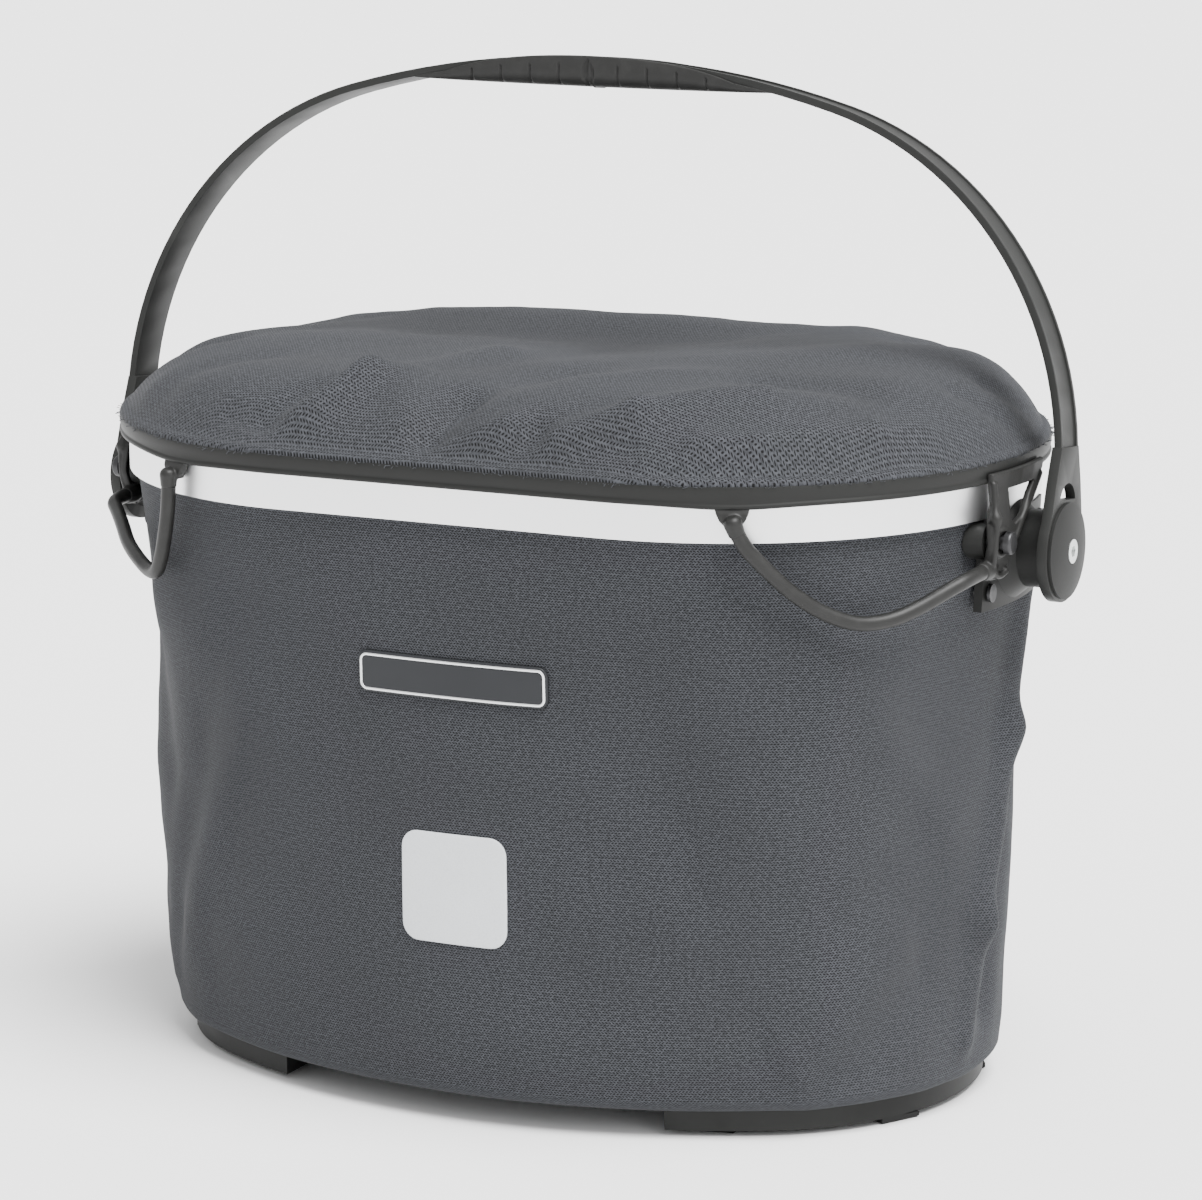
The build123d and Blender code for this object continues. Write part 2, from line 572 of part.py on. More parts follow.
# ---- Handle ------------------------------------------------------------------------
def arch_face(inset):
    """Area under the arch, inset from its outer face, on the XZ plane."""
    top_r = HANDLE_TOP_RADIUS - inset
    shoulder_r = HANDLE_SHOULDER_RADIUS - inset
    half = HANDLE_HALF_SPAN - inset
    top_z = PIVOT_Z + HANDLE_RISE - inset
    centre_x = HANDLE_HALF_SPAN - HANDLE_SHOULDER_RADIUS
    top_centre_z = PIVOT_Z + HANDLE_RISE - HANDLE_TOP_RADIUS
    reach = HANDLE_TOP_RADIUS - HANDLE_SHOULDER_RADIUS
    centre_z = top_centre_z + sqrt(reach**2 - centre_x**2)
    join = Vector(centre_x / reach, (centre_z - top_centre_z) / reach)
    join_x = join.X * top_r
    join_z = top_centre_z + join.Y * top_r
    lean = Vector(1 + join.X, join.Y).normalized()
    mid_x = centre_x + lean.X * shoulder_r
    mid_z = centre_z + lean.Y * shoulder_r
    edges = [
        Line((-half, PIVOT_Z), (-half, centre_z)),
        ThreePointArc((-half, centre_z), (-mid_x, mid_z), (-join_x, join_z)),
        ThreePointArc((-join_x, join_z), (0, top_z), (join_x, join_z)),
        ThreePointArc((join_x, join_z), (mid_x, mid_z), (half, centre_z)),
        Line((half, centre_z), (half, PIVOT_Z)),
        Line((half, PIVOT_Z), (-half, PIVOT_Z)),
    ]
    return Plane.XZ * make_face(edges)


def arch_block(inset, width):
    return extrude(arch_face(inset), width / 2, both=True)


def leaned(shape):
    """Turns a part of the handle from upright to its standing lean."""
    return Pos(0, 0, PIVOT_Z) * Rot(-HANDLE_LEAN, 0, 0) * Pos(0, 0, -PIVOT_Z) * shape


def make_eye_plate():
    """Right eye plate: a disc round the pivot that narrows upwards to the strap."""
    half = HANDLE_WIDTH / 2
    low_half = sqrt(EYE_RADIUS**2 - NECK_LOW_HEIGHT**2)
    plane = Plane((EYE_INNER_X, 0, PIVOT_Z), x_dir=(0, 1, 0), z_dir=(1, 0, 0))
    neck = make_face(Polyline(
        (-low_half, NECK_LOW_HEIGHT), (-half - NECK_FLARE, WINDOW_TOP), (-half, NECK_HEIGHT),
        (half, NECK_HEIGHT), (half + NECK_FLARE, WINDOW_TOP), (low_half, NECK_LOW_HEIGHT), close=True,
    ))
    plate = extrude(plane * (Circle(EYE_RADIUS) + neck), EYE_THICKNESS)
    left = (-WINDOW_HALF_WIDTH, CAP_RADIUS + WINDOW_SILL)
    right = (WINDOW_HALF_WIDTH, CAP_RADIUS + WINDOW_SILL)
    window = make_face([Line(left, right), ThreePointArc(right, (0, WINDOW_TOP), left)])
    opening = extrude(plane * window, 2 * EYE_THICKNESS, both=True)
    return plate, opening


def make_handle():
    strap = arch_block(0, HANDLE_WIDTH) - arch_block(HANDLE_THICKNESS, 2 * HANDLE_WIDTH)
    channel_width = HANDLE_WIDTH - 2 * HANDLE_EDGE
    channel = arch_block(-HANDLE_THICKNESS, channel_width)
    channel -= arch_block(HANDLE_CHANNEL_DEPTH, 2 * HANDLE_WIDTH)
    strap -= channel & block(WIDE, WIDE, (PIVOT_Z + NECK_HEIGHT, PIVOT_Z + 2 * HANDLE_RISE))
    strap -= block(WIDE, WIDE, (0, PIVOT_Z + STRAP_START))
    plate, window = make_eye_plate()
    handle = strap + plate + mirror(plate, about=Plane.YZ)
    handle -= window + mirror(window, about=Plane.YZ)
    handle -= pivot_holes(BUSH_RADIUS)
    return leaned(handle)


def make_grip():
    """Grip under the strap: flat below, so it is deepest in the middle."""
    low_z = PIVOT_Z + HANDLE_RISE - HANDLE_THICKNESS - GRIP_DEPTH
    under = arch_block(HANDLE_THICKNESS + FIT / 2, GRIP_WIDTH)
    under &= block(WIDE, WIDE, (low_z, PIVOT_Z + HANDLE_RISE))
    lower_edges = under.edges().filter_by(Axis.X).sort_by(Axis.Z)[:2]
    grip = fillet(lower_edges, GRIP_EDGE_RADIUS)
    for step in range(-GROOVES_PER_SIDE, GROOVES_PER_SIDE + 1):
        width = CENTRE_GROOVE_WIDTH if step == 0 else GROOVE_WIDTH
        x = step * GROOVE_PITCH
        core = GRIP_WIDTH / 2 - GROOVE_DEPTH
        cut = block((x - width / 2, x + width / 2), WIDE, (low_z - 1, low_z + GROOVE_REACH))
        cut -= block(WIDE, (-core, core), (low_z + GROOVE_DEPTH, low_z + GRIP_DEPTH))
        grip -= cut
    return leaned(grip)


# ---- Lid, latches and cords ------------------------------------------------------------
def make_tab():
    """Right tab: a wedge below the lid rim that the pull cord grows out of."""
    radius = RIM_HALF_DEPTH + LID_GAP + FIT
    x = TAB_X - STRAIGHT_HALF
    radial = Vector(x, -sqrt((radius + TAB_THICKNESS / 2) ** 2 - x**2), 0).normalized()
    origin = Vector(STRAIGHT_HALF, 0, LID_BOTTOM_Z + 2) + radial * radius
    plane = Plane(origin, x_dir=Vector(-radial.Y, radial.X, 0), z_dir=radial)
    outline = make_face(Polyline(
        (-TAB_TOP_WIDTH / 2, 0), (TAB_TOP_WIDTH / 2, 0),
        (TAB_FOOT_WIDTH / 2, -TAB_DROP), (-TAB_FOOT_WIDTH / 2, -TAB_DROP), close=True,
    ))
    tab = extrude(plane * outline, TAB_THICKNESS)
    return tab - extrude(oblong(LID_GAP, LID_BOTTOM_Z - 2 * TAB_DROP), BAND_TOP_Z)


def make_lid_rim():
    """Lid rim: an upside-down channel that sits over the band, with two tabs."""
    skirt = ring(LID_OUTER, LID_GAP, LID_BOTTOM_Z, LID_TOP_Z)
    web = ring(LID_OUTER, LID_INNER_FACE - LID_SKIRT, BAND_TOP_Z + LID_REST_GAP, LID_TOP_Z)
    inner = ring(LID_INNER_FACE, LID_INNER_FACE - LID_SKIRT, BAND_TOP_Z - LID_INNER_DROP, LID_TOP_Z)
    rim = skirt + web + inner
    rim = fillet(rim.faces().sort_by(Axis.Z)[-1].outer_wire().edges(), LID_TOP_EDGE)
    tab = make_tab()
    return rim + tab + mirror(tab, about=Plane.YZ)


def crown_form(drop):
    """The lid's crowned form, as steps of ever smaller outlines, lowered by the drop."""
    faces = []
    for step in CROWN_STEPS:
        inset = step * RIM_HALF_DEPTH
        height = CROWN_HEIGHT * (1 - (1 - step) ** CROWN_FULLNESS)
        faces.append(oblong(-CLOTH_INSET - inset - drop, LID_TOP_Z + FIT + height - drop))
    form = loft(faces[:2], ruled=True)
    for low, high in zip(faces[1:], faces[2:]):
        form += loft([low, high], ruled=True)
    return form


def make_lid_fabric():
    skin = crown_form(0) - crown_form(LID_CLOTH)
    return skin & block(WIDE, WIDE, (LID_TOP_Z + FIT, LID_TOP_Z + 2 * CROWN_HEIGHT))


def make_latch():
    """Right latch: a flat strap with a window, a hole for the stud and a cord socket."""
    top_r = RIM_HALF_DEPTH + LID_OUTER + LATCH_TOP_STANDOFF
    stud_r = top_r + LATCH_STUD_FLARE
    foot_r = top_r + LATCH_FOOT_FLARE
    inner = [(top_r, LATCH_TOP_Z), (stud_r, STUD_Z), (foot_r, LATCH_FOOT_Z)]
    outer = [(radius + LATCH_THICKNESS, z) for radius, z in inner]
    section = make_face(Polyline(*inner, *reversed(outer), close=True))
    shell = Pos(STRAIGHT_HALF, 0, 0) * revolve(Plane.XZ * section, Axis.Z)
    side = Plane((STRAIGHT_HALF, 0, 0), x_dir=(0, 1, 0), z_dir=(1, 0, 0))
    flat = latch_outline() + Pos(STUD_Y, STUD_Z) * Circle(LATCH_RING_RADIUS)
    latch = shell & extrude(side * flat, BEYOND)
    latch -= extrude(side * latch_window(), BEYOND)
    latch -= rod_x(LATCH_HOLE_RADIUS, STRAIGHT_HALF, BEYOND, STUD_Y, STUD_Z)
    middle = LID_OUTER + LATCH_TOP_STANDOFF + LATCH_FOOT_FLARE + LATCH_THICKNESS / 2
    socket_x = rim_end_x(middle, LATCH_FRONT - SOCKET_LENGTH / 2) + SOCKET_OUT
    ends = (LATCH_FRONT - SOCKET_LENGTH, LATCH_FRONT)
    return latch + rod_y(SOCKET_RADIUS, *ends, socket_x, LATCH_FOOT_Z + SOCKET_RISE)


def latch_outline():
    """Strap round the stud with a bulge on its front edge and a slanting top bar."""
    front = LATCH_FRONT
    back = LATCH_STRAP_BACK
    bulge_z = (LATCH_TOP_Z + STUD_Z) / 2 - LATCH_BAR
    return make_face(Polyline(
        (front, LATCH_TOP_Z), (front, bulge_z + 5), (front - LATCH_EYELET, bulge_z), (front, STUD_Z),
        (front, LATCH_FOOT_Z), (back, LATCH_FOOT_Z), (back, STUD_Z - 4), (back + 5, STUD_Z + 3),
        (LATCH_BACK, LATCH_TOP_Z), close=True,
    ))


def latch_window():
    top_z = LATCH_TOP_Z - LATCH_BAR
    front = LATCH_WINDOW_FRONT
    low_z = STUD_Z + STUD_HEAD_RADIUS + LATCH_BAR
    return make_face(Polyline(
        (front, top_z), (LATCH_BACK - 3 * LATCH_BAR, top_z),
        (front + 5, low_z + 1.5), (front, low_z), close=True,
    ))


def cord_path(points, name):
    """Straight runs joined by arcs as large as the runs allow."""
    vectors = [Vector(*point) for point in points]
    radii = []
    for before, corner, after in zip(vectors, vectors[1:], vectors[2:]):
        first = corner - before
        second = after - corner
        turn = radians(first.get_angle(second))
        radii.append(0.45 * min(first.length, second.length) / tan(turn / 2))
    print(name, "radii", [round(radius) for radius in radii])
    return FilletPolyline(*vectors, radius=radii)


def make_cord(points, name):
    path = cord_path(points, name)
    start = Plane(path @ 0, z_dir=path % 0)
    cord = sweep(start * Circle(CORD_RADIUS), path=path)
    expected = path.length * pi * CORD_RADIUS**2
    print(name, "length", round(path.length, 1), "volume", round(cord.volume), "of", round(expected))
    return cord


# ---- Base, front and coupling -----------------------------------------------------------
def skid_form(inset, z_low, z_high):
    """Right skid's outline, inset, between two heights."""
    form = extrude(Face(base_wire(-SKID_INSET - inset, z_low)), z_high - z_low, dir=(0, 0, 1))
    return form & block((SKID_INNER_X + inset, BEYOND), WIDE, (z_low, z_high))


def foot_places():
    """Feet of the right skid: two near its straight side, two near its round end."""
    side_inset, front_inset, side_turn = SIDE_FOOT
    end_inset, end_y, end_turn = END_FOOT
    near = (SKID_INNER_X + side_inset, BASE_HALF_DEPTH - SKID_INSET - front_inset, side_turn)
    far = (BASE_HALF_WIDTH - SKID_INSET - end_inset, end_y, end_turn)
    return [(x, sign * y, -sign * turn) for x, y, turn in (near, far) for sign in (-1, 1)]


def make_skid():
    """Right skid: a tray, open below, with ribs and screw bosses."""
    top_z = BAG_BOTTOM_Z - SKID_TOP_GAP
    skid = skid_form(0, FOOT_HEIGHT, top_z)
    pocket = skid_form(SKID_WALL, FOOT_HEIGHT - 1, top_z - SKID_WEB)
    for y in (-SKID_RIB_Y, 0, SKID_RIB_Y):
        pocket -= block(WIDE, (y - SKID_RIB / 2, y + SKID_RIB / 2), (0, top_z))
    rib_x = SKID_INNER_X + SKID_RIB_X
    pocket -= block((rib_x, rib_x + SKID_RIB), WIDE, (0, top_z))
    for x, y in base_screw_places()[:3]:
        pocket -= Pos(x, y, 0) * Cylinder(BASE_BOSS_RADIUS, 2 * top_z)
    for x, y, turn in foot_places():
        pocket -= Pos(x, y, 0) * Rot(0, 0, turn) * Box(FOOT_LENGTH, FOOT_WIDTH, 2 * top_z)
    skid -= pocket
    edge_x = SKID_INNER_X - 1
    for sign in (-1, 1):
        outside = sign * BEYOND
        low = sign * (skid_front_y() - SKID_CORNER)
        cut = Polyline((edge_x, outside), (SKID_INNER_X + SKID_CORNER, outside), (edge_x, low), close=True)
        skid -= extrude(make_face(cut), 2 * top_z)
    for rod in base_rods(BASE_SCREW_RADIUS + FIT):
        skid -= rod
    for rod in base_rods(BASE_SCREW_HEAD_RADIUS + FIT, 0, FOOT_HEIGHT + BASE_SCREW_HEAD_HEIGHT + FIT):
        skid -= rod
    return skid


def skid_front_y():
    """How far the skid reaches forward at its straight side."""
    width = BASE_HALF_WIDTH - SKID_INSET
    depth = BASE_HALF_DEPTH - SKID_INSET
    end = BASE_END_RADIUS - SKID_INSET
    side = ((width - end) ** 2 + depth**2 - end**2) / (2 * (depth - end))
    return sqrt(side**2 - SKID_INNER_X**2) - (side - depth)


def make_feet():
    feet = []
    for x, y, turn in foot_places():
        foot = Pos(x, y, (FOOT_HEIGHT - FIT / 2) / 2) * Rot(0, 0, turn)
        foot = foot * Box(FOOT_LENGTH, FOOT_WIDTH, FOOT_HEIGHT - FIT / 2)
        foot = chamfer(foot.faces().sort_by(Axis.Z)[0].edges(), FOOT_EDGE)
        feet += [foot, mirror(foot, about=Plane.YZ)]
    return Compound(feet)


def make_base_screws():
    head_low = FOOT_HEIGHT + BASE_SCREW_SUNK
    head_high = FOOT_HEIGHT + BASE_SCREW_HEAD_HEIGHT
    tip = BOARD_TOP_Z + BASE_NUT_HEIGHT + BASE_SCREW_END
    shanks = base_rods(BASE_SCREW_RADIUS, head_low, tip)
    heads = base_rods(BASE_SCREW_HEAD_RADIUS, head_low, head_high)
    slot = cross_slot(BASE_SCREW_HEAD_RADIUS, head_high - head_low)
    screws = []
    for (x, y), shank, head in zip(base_screw_places(), shanks, heads):
        screws.append(shank + head - Pos(x, y, head_low) * slot)
    return Compound(screws)


def cross_slot(head_radius, depth):
    """Cross recess for the driver, centred on the head's face, along Z."""
    length = SLOT_SHARE * 2 * head_radius
    return Box(length, SLOT_WIDTH, depth) + Box(SLOT_WIDTH, length, depth)


def make_base_nuts():
    low = BOARD_TOP_Z + FIT / 2
    face = hexagon(BASE_NUT_FLATS) - Circle(BASE_SCREW_RADIUS + FIT / 2)
    nut = extrude(face, BASE_NUT_HEIGHT)
    return Compound([Pos(x, y, low) * nut for x, y in base_screw_places()])


def front_patch(centre, size, corner, thickness):
    """A thin rounded patch that follows the front of the bag."""
    plane = Plane((centre[0], 0, centre[1]), x_dir=(1, 0, 0), z_dir=(0, -1, 0))
    prism = extrude(plane * RectangleRounded(*size, corner), BEYOND)
    return (bag_form(FIT + thickness) - bag_form(FIT)) & prism


def make_coupling_plate():
    """Rear plate with two hooks that hang over the bracket's cross bar."""
    back_y = COUPLING_BACK_Y
    middle_z = (COUPLING_BOTTOM_Z + COUPLING_TOP_Z) / 2
    plane = Plane((0, back_y, middle_z), x_dir=(1, 0, 0), z_dir=(0, -1, 0))
    face = RectangleRounded(2 * COUPLING_HALF_WIDTH, COUPLING_HEIGHT, COUPLING_CORNER)
    plate = extrude(plane * face, RIM_HALF_DEPTH)
    inner_r = BAR_RADIUS + BAR_CLEARANCE
    outer_r = inner_r + HOOK_WALL
    for side in (-1, 1):
        span = (side * HOOK_X - HOOK_WIDTH / 2, side * HOOK_X + HOOK_WIDTH / 2)
        hook = rod_x(outer_r, *span, BAR_CENTRE_Y, BAR_Z)
        hook += block(span, (back_y - 2, BAR_CENTRE_Y), (BAR_Z - HOOK_LIP, BAR_Z + outer_r))
        hook += block(span, (BAR_CENTRE_Y, BAR_CENTRE_Y + outer_r), (BAR_Z - HOOK_LIP, BAR_Z))
        hook -= block(WIDE, (BAR_CENTRE_Y - outer_r, BEYOND), (0, BAR_Z - HOOK_LIP))
        plate += hook
    plate -= rod_x(inner_r, *WIDE, BAR_CENTRE_Y, BAR_Z)
    plate -= block(WIDE, (BAR_CENTRE_Y - inner_r, BAR_CENTRE_Y + inner_r), (0, BAR_Z))
    width, tall, deep = NOTCH_SIZE
    plate -= Pos(0, back_y, NOTCH_Z) * Box(width, 2 * deep, tall)
    plate -= bag_form(FIT)
    for rod in coupling_rods(COUPLING_SCREW_RADIUS + FIT):
        plate -= rod
    head_depth = COUPLING_SCREW_HEAD_HEIGHT + 2 * FIT
    for rod in coupling_rods(COUPLING_SCREW_HEAD_RADIUS + FIT, back_y - head_depth):
        plate -= rod
    return plate


def coupling_nut_face_y(x, z):
    """Y of the nuts' inner faces: they sit on the back board."""
    depth = BAG_WALL + BACK_BOARD_THICKNESS + COUPLING_NUT_HEIGHT
    return wall_back_y(x, z) - depth


def make_coupling_nuts():
    room = bag_form(-BAG_WALL - BACK_BOARD_THICKNESS - 2 * FIT)
    nuts = []
    for x, z in coupling_places():
        plane = Plane((x, coupling_nut_face_y(x, z), z), x_dir=(-1, 0, 0), z_dir=(0, 1, 0))
        face = hexagon(COUPLING_NUT_FLATS) - Circle(COUPLING_SCREW_RADIUS + FIT / 2)
        nuts.append(extrude(plane * face, 2 * COUPLING_NUT_HEIGHT) & room)
    return Compound(nuts)


def wall_back_y(x, z):
    """Y of the bag's outer face at the back, near the middle."""
    fall = (BAND_BOTTOM_Z - z) / (BAND_BOTTOM_Z - BAG_BOTTOM_Z)
    end_centre_x = BASE_HALF_WIDTH - BASE_END_RADIUS
    depth = BASE_HALF_DEPTH
    side = (end_centre_x**2 + depth**2 - BASE_END_RADIUS**2) / (2 * (depth - BASE_END_RADIUS))
    base = sqrt(side**2 - x**2) - (side - depth)
    top = RIM_HALF_DEPTH + BAG_OUTSET
    return top + (base - top) * fall


def make_coupling_screws():
    face_y = COUPLING_BACK_Y - FIT
    head_low = face_y - COUPLING_SCREW_HEAD_HEIGHT
    slot = Rot(90, 0, 0) * cross_slot(COUPLING_SCREW_HEAD_RADIUS, COUPLING_SCREW_HEAD_HEIGHT)
    screws = []
    for x, z in coupling_places():
        tip = coupling_nut_face_y(x, z) - COUPLING_SCREW_END
        shank = rod_y(COUPLING_SCREW_RADIUS, tip, head_low + FIT, x, z)
        head = rod_y(COUPLING_SCREW_HEAD_RADIUS, head_low, face_y, x, z)
        screws.append(shank + head - Pos(x, face_y, z) * slot)
    return Compound(screws)


# ---- All parts -------------------------------------------------------------------------
def both_sides(name, right):
    return {"right_" + name: right, "left_" + name: mirror(right, about=Plane.YZ)}


def make_parts():
    parts = {
        "bag_shell": make_bag(),
        "bottom_board": make_bottom_board(),
        "back_board": make_back_board(),
        "rim_band": make_rim_band(),
        "rim_liner": make_rim_liner(),
        "housing_rivets": make_rivets(),
        "handle_arch": make_handle(),
        "handle_grip": make_grip(),
        "lid_rim": make_lid_rim(),
        "lid_fabric": make_lid_fabric(),
        "right_pull_cord": make_cord(RIGHT_CORD_POINTS, "right cord"),
        "left_pull_cord": make_cord(LEFT_CORD_POINTS, "left cord"),
        "feet": make_feet(),
        "base_screws": make_base_screws(),
        "base_nuts": make_base_nuts(),
        "nameplate": front_patch(PLATE_CENTRE, PLATE_SIZE, PLATE_CORNER, PLATE_THICKNESS),
        "reflector": front_patch(REFLECTOR_CENTRE, REFLECTOR_SIZE, REFLECTOR_CORNER, REFLECTOR_THICKNESS),
        "coupling_plate": make_coupling_plate(),
        "coupling_screws": make_coupling_screws(),
        "coupling_nuts": make_coupling_nuts(),
    }
    parts.update(both_sides("pivot_housing", make_pivot_housing()))
    parts.update(both_sides("latch_stud", make_latch_stud()))
    parts.update(both_sides("pivot_bush", make_bush()))
    parts.update(both_sides("friction_washer", make_friction_washer()))
    parts.update(both_sides("pivot_cap", make_cap()))
    parts.update(both_sides("backing_washer", make_backing_washer()))
    parts.update(both_sides("pivot_nut", make_pivot_nut()))
    parts.update(both_sides("pivot_bolt", make_pivot_bolt()))
    parts.update(both_sides("latch", make_latch()))
    parts.update(both_sides("base_skid", make_skid()))
    return parts


os.makedirs("parts", exist_ok=True)
for node, shape in make_parts().items():
    export_step(Pos(0, BASKET_Y, 0) * shape, f"parts/{node}.step")
print("basket middle at Y", round(BASKET_Y, 2))
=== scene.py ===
"""Handlebar basket: the visible pieces, their finishes and the stage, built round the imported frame.

Lengths are in metres.  X is the width, -Y the front and +Z up, as in the frame.
"""
from math import ceil, cos, hypot, pi, radians, sin, sqrt

import bmesh
import bpy
import numpy as np
from bpy.props import FloatProperty, FloatVectorProperty, IntProperty, PointerProperty
from mathutils import Matrix, Vector, noise


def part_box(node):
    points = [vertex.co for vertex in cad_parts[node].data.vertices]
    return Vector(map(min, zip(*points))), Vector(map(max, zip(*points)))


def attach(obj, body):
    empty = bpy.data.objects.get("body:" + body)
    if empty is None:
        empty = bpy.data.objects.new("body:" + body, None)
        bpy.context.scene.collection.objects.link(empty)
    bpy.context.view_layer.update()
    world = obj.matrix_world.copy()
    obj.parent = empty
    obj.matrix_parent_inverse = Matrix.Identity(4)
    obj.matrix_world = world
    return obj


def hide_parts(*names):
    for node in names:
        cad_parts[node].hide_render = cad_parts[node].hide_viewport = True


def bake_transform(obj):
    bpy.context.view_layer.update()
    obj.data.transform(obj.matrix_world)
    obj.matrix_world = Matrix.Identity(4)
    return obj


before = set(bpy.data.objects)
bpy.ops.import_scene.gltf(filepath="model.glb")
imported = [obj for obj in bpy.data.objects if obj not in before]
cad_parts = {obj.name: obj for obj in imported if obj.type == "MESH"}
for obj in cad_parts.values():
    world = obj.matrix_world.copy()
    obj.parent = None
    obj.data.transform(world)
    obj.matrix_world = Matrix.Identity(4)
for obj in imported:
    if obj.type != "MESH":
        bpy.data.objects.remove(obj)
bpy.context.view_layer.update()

bl_info = {
    "name": "Handlebar basket",
    "version": (1, 0, 0),
    "blender": (4, 5, 0),
    "location": "3D View > Sidebar > Basket",
    "description": "Builds a fabric handlebar basket with its lid, handle and latches",
    "category": "Object",
}

MM = 0.001

# ---- Sizes read from the frame -------------------------------------------------------------------
BAND_LOW, BAND_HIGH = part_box("rim_band")
HALF_WIDTH = BAND_HIGH.x
RADIUS = (BAND_HIGH.y - BAND_LOW.y) / 2        # round ends of the rim, and half its depth
STRAIGHT = HALF_WIDTH - RADIUS
MID_Y = (BAND_HIGH.y + BAND_LOW.y) / 2
BAND_Z = BAND_LOW.z
_, LID_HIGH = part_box("lid_rim")
LID_OUT = LID_HIGH.x - HALF_WIDTH              # the lid rim stands out from the band by this
LID_TOP = LID_HIGH.z
LID_BASE = BAND_HIGH.z - 3.5 * MM              # lower edge of the lid rim's outer face
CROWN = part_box("lid_fabric")[1].z - LID_TOP    # rise of the lid over its rim
BAG_LOW, BAG_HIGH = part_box("bag_shell")
BAG_FLOOR = BAG_LOW.z
CAP_LOW, CAP_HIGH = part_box("right_pivot_cap")
PIVOT_Z = (CAP_LOW.z + CAP_HIGH.z) / 2
STUD_LOW, STUD_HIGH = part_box("right_latch_stud")
STUD_Y = (STUD_LOW.y + STUD_HIGH.y) / 2 - MID_Y
STUD_Z = (STUD_LOW.z + STUD_HIGH.z) / 2
PERIMETER = 4 * STRAIGHT + 2 * pi * RADIUS
BACK_TURN = PERIMETER / 2                      # the middle of the back, where outlines start

# Base outline: four tangent arcs, as the frame's bag has.
BASE_HALF_WIDTH = HALF_WIDTH - 14.4 * MM
BASE_HALF_DEPTH = RADIUS - 3.4 * MM
BASE_END = RADIUS - 22.4 * MM
BASE_END_X = BASE_HALF_WIDTH - BASE_END
BASE_SIDE = (BASE_END_X**2 + BASE_HALF_DEPTH**2 - BASE_END**2) / (2 * (BASE_HALF_DEPTH - BASE_END))
BASE_TURN = np.arctan2(BASE_END_X, BASE_SIDE - BASE_HALF_DEPTH)
CLOTH_SET = 2.6 * MM                           # bag cloth inside the rim band's outer face

# Pull cords: the route's points in millimetres, with Y from the rim's middle.
RIGHT_CORD = [
    (121.6, -116.2, 248.5), (124.2, -114.9, 240.5), (131.4, -110.6, 231.4),
    (140.4, -104.6, 220.8), (150.0, -97.0, 212.4), (159.6, -88.0, 207.2),
    (168.6, -77.6, 207.4), (176.6, -67.6, 211.4), (184.2, -58.6, 216.8),
    (190.0, -49.4, 220.6), (190.0, -38.0, 220.6),
]
LEFT_CORD = [
    (-121.6, -116.2, 248.5), (-122.2, -115.8, 237.0), (-124.6, -114.4, 225.6),
    (-128.2, -112.0, 214.6), (-132.6, -108.6, 206.4), (-139.7, -102.9, 204.9),
    (-150.8, -94.2, 208.2), (-162.4, -82.5, 211.2), (-172.7, -69.3, 214.8),
    (-182.6, -57.4, 218.0), (-190.0, -49.4, 220.6), (-190.0, -38.0, 220.6),
]
CORD_RADIUS = 2.9 * MM


# ---- Settings ------------------------------------------------------------------------------------
class BagSettings(bpy.types.PropertyGroup):
    """Sizes and colour of the bag's cloth"""
    wall: FloatProperty(name="Wall", description="Thickness of the coated cloth", default=1.8 * MM,
                        subtype="DISTANCE")
    hem_radius: FloatProperty(name="Hem radius", description="Rounding of the bottom edge",
                              default=4.0 * MM, subtype="DISTANCE")
    waist: FloatProperty(name="Waist", description="How far the ends draw in above the middle",
                         default=3.4 * MM, subtype="DISTANCE")
    crease: FloatProperty(name="Crease depth", description="Depth of the soft folds", default=3.3 * MM,
                          subtype="DISTANCE")
    around: IntProperty(name="Around", description="Divisions round the bag", default=420)
    weave: FloatProperty(name="Weave", description="Width of one yarn crossing", default=1.35 * MM,
                         subtype="DISTANCE")
    colour: FloatVectorProperty(name="Colour", description="Yarn colour", default=(0.0195, 0.0205, 0.0232),
                                size=3, subtype="COLOR")


class LidSettings(bpy.types.PropertyGroup):
    """Shape of the lid's cloth and of its frayed edge"""
    cloth: FloatProperty(name="Cloth", description="Thickness of the lid's cloth", default=1.2 * MM,
                         subtype="DISTANCE")
    lean: FloatProperty(name="Lean", description="How much higher the crown is at its right end",
                        default=0.12, subtype="FACTOR")
    lumps: FloatProperty(name="Lumps", description="Strength of the soft lumps", default=2.3,
                         subtype="FACTOR")
    thread_gap: FloatProperty(name="Thread gap", description="Distance between frayed yarn ends",
                              default=1.1 * MM, subtype="DISTANCE")
    thread_length: FloatProperty(name="Thread length", description="Length of a frayed yarn end",
                                 default=1.8 * MM, subtype="DISTANCE")


class TrimSettings(bpy.types.PropertyGroup):
    """Colours of the hard and rubber pieces"""
    plastic: FloatVectorProperty(name="Plastic", description="Moulded trim colour",
                                 default=(0.0135, 0.0138, 0.0132), size=3, subtype="COLOR")
    rubber: FloatVectorProperty(name="Rubber", description="Latch and cord colour",
                                default=(0.0115, 0.0115, 0.011), size=3, subtype="COLOR")
    metal: FloatVectorProperty(name="Rim metal", description="Anodised rim colour",
                               default=(0.93, 0.935, 0.94), size=3, subtype="COLOR")
    reflector: FloatVectorProperty(name="Reflector", description="Reflective film colour",
                                   default=(0.56, 0.58, 0.60), size=3, subtype="COLOR")


class StageSettings(bpy.types.PropertyGroup):
    """Floor and light"""
    floor: FloatVectorProperty(name="Floor", description="Floor colour", default=(0.90, 0.90, 0.90),
                               size=3, subtype="COLOR")
    sky: FloatProperty(name="Sky", description="Strength of the even white light", default=1.20)
    overhead: FloatProperty(name="Overhead light", description="Strength of the broad light from above",
                            default=8.8)


def settings(name):
    """The scene's settings for the bag, lid, trim or stage."""
    return getattr(bpy.context.scene, "basket_" + name)


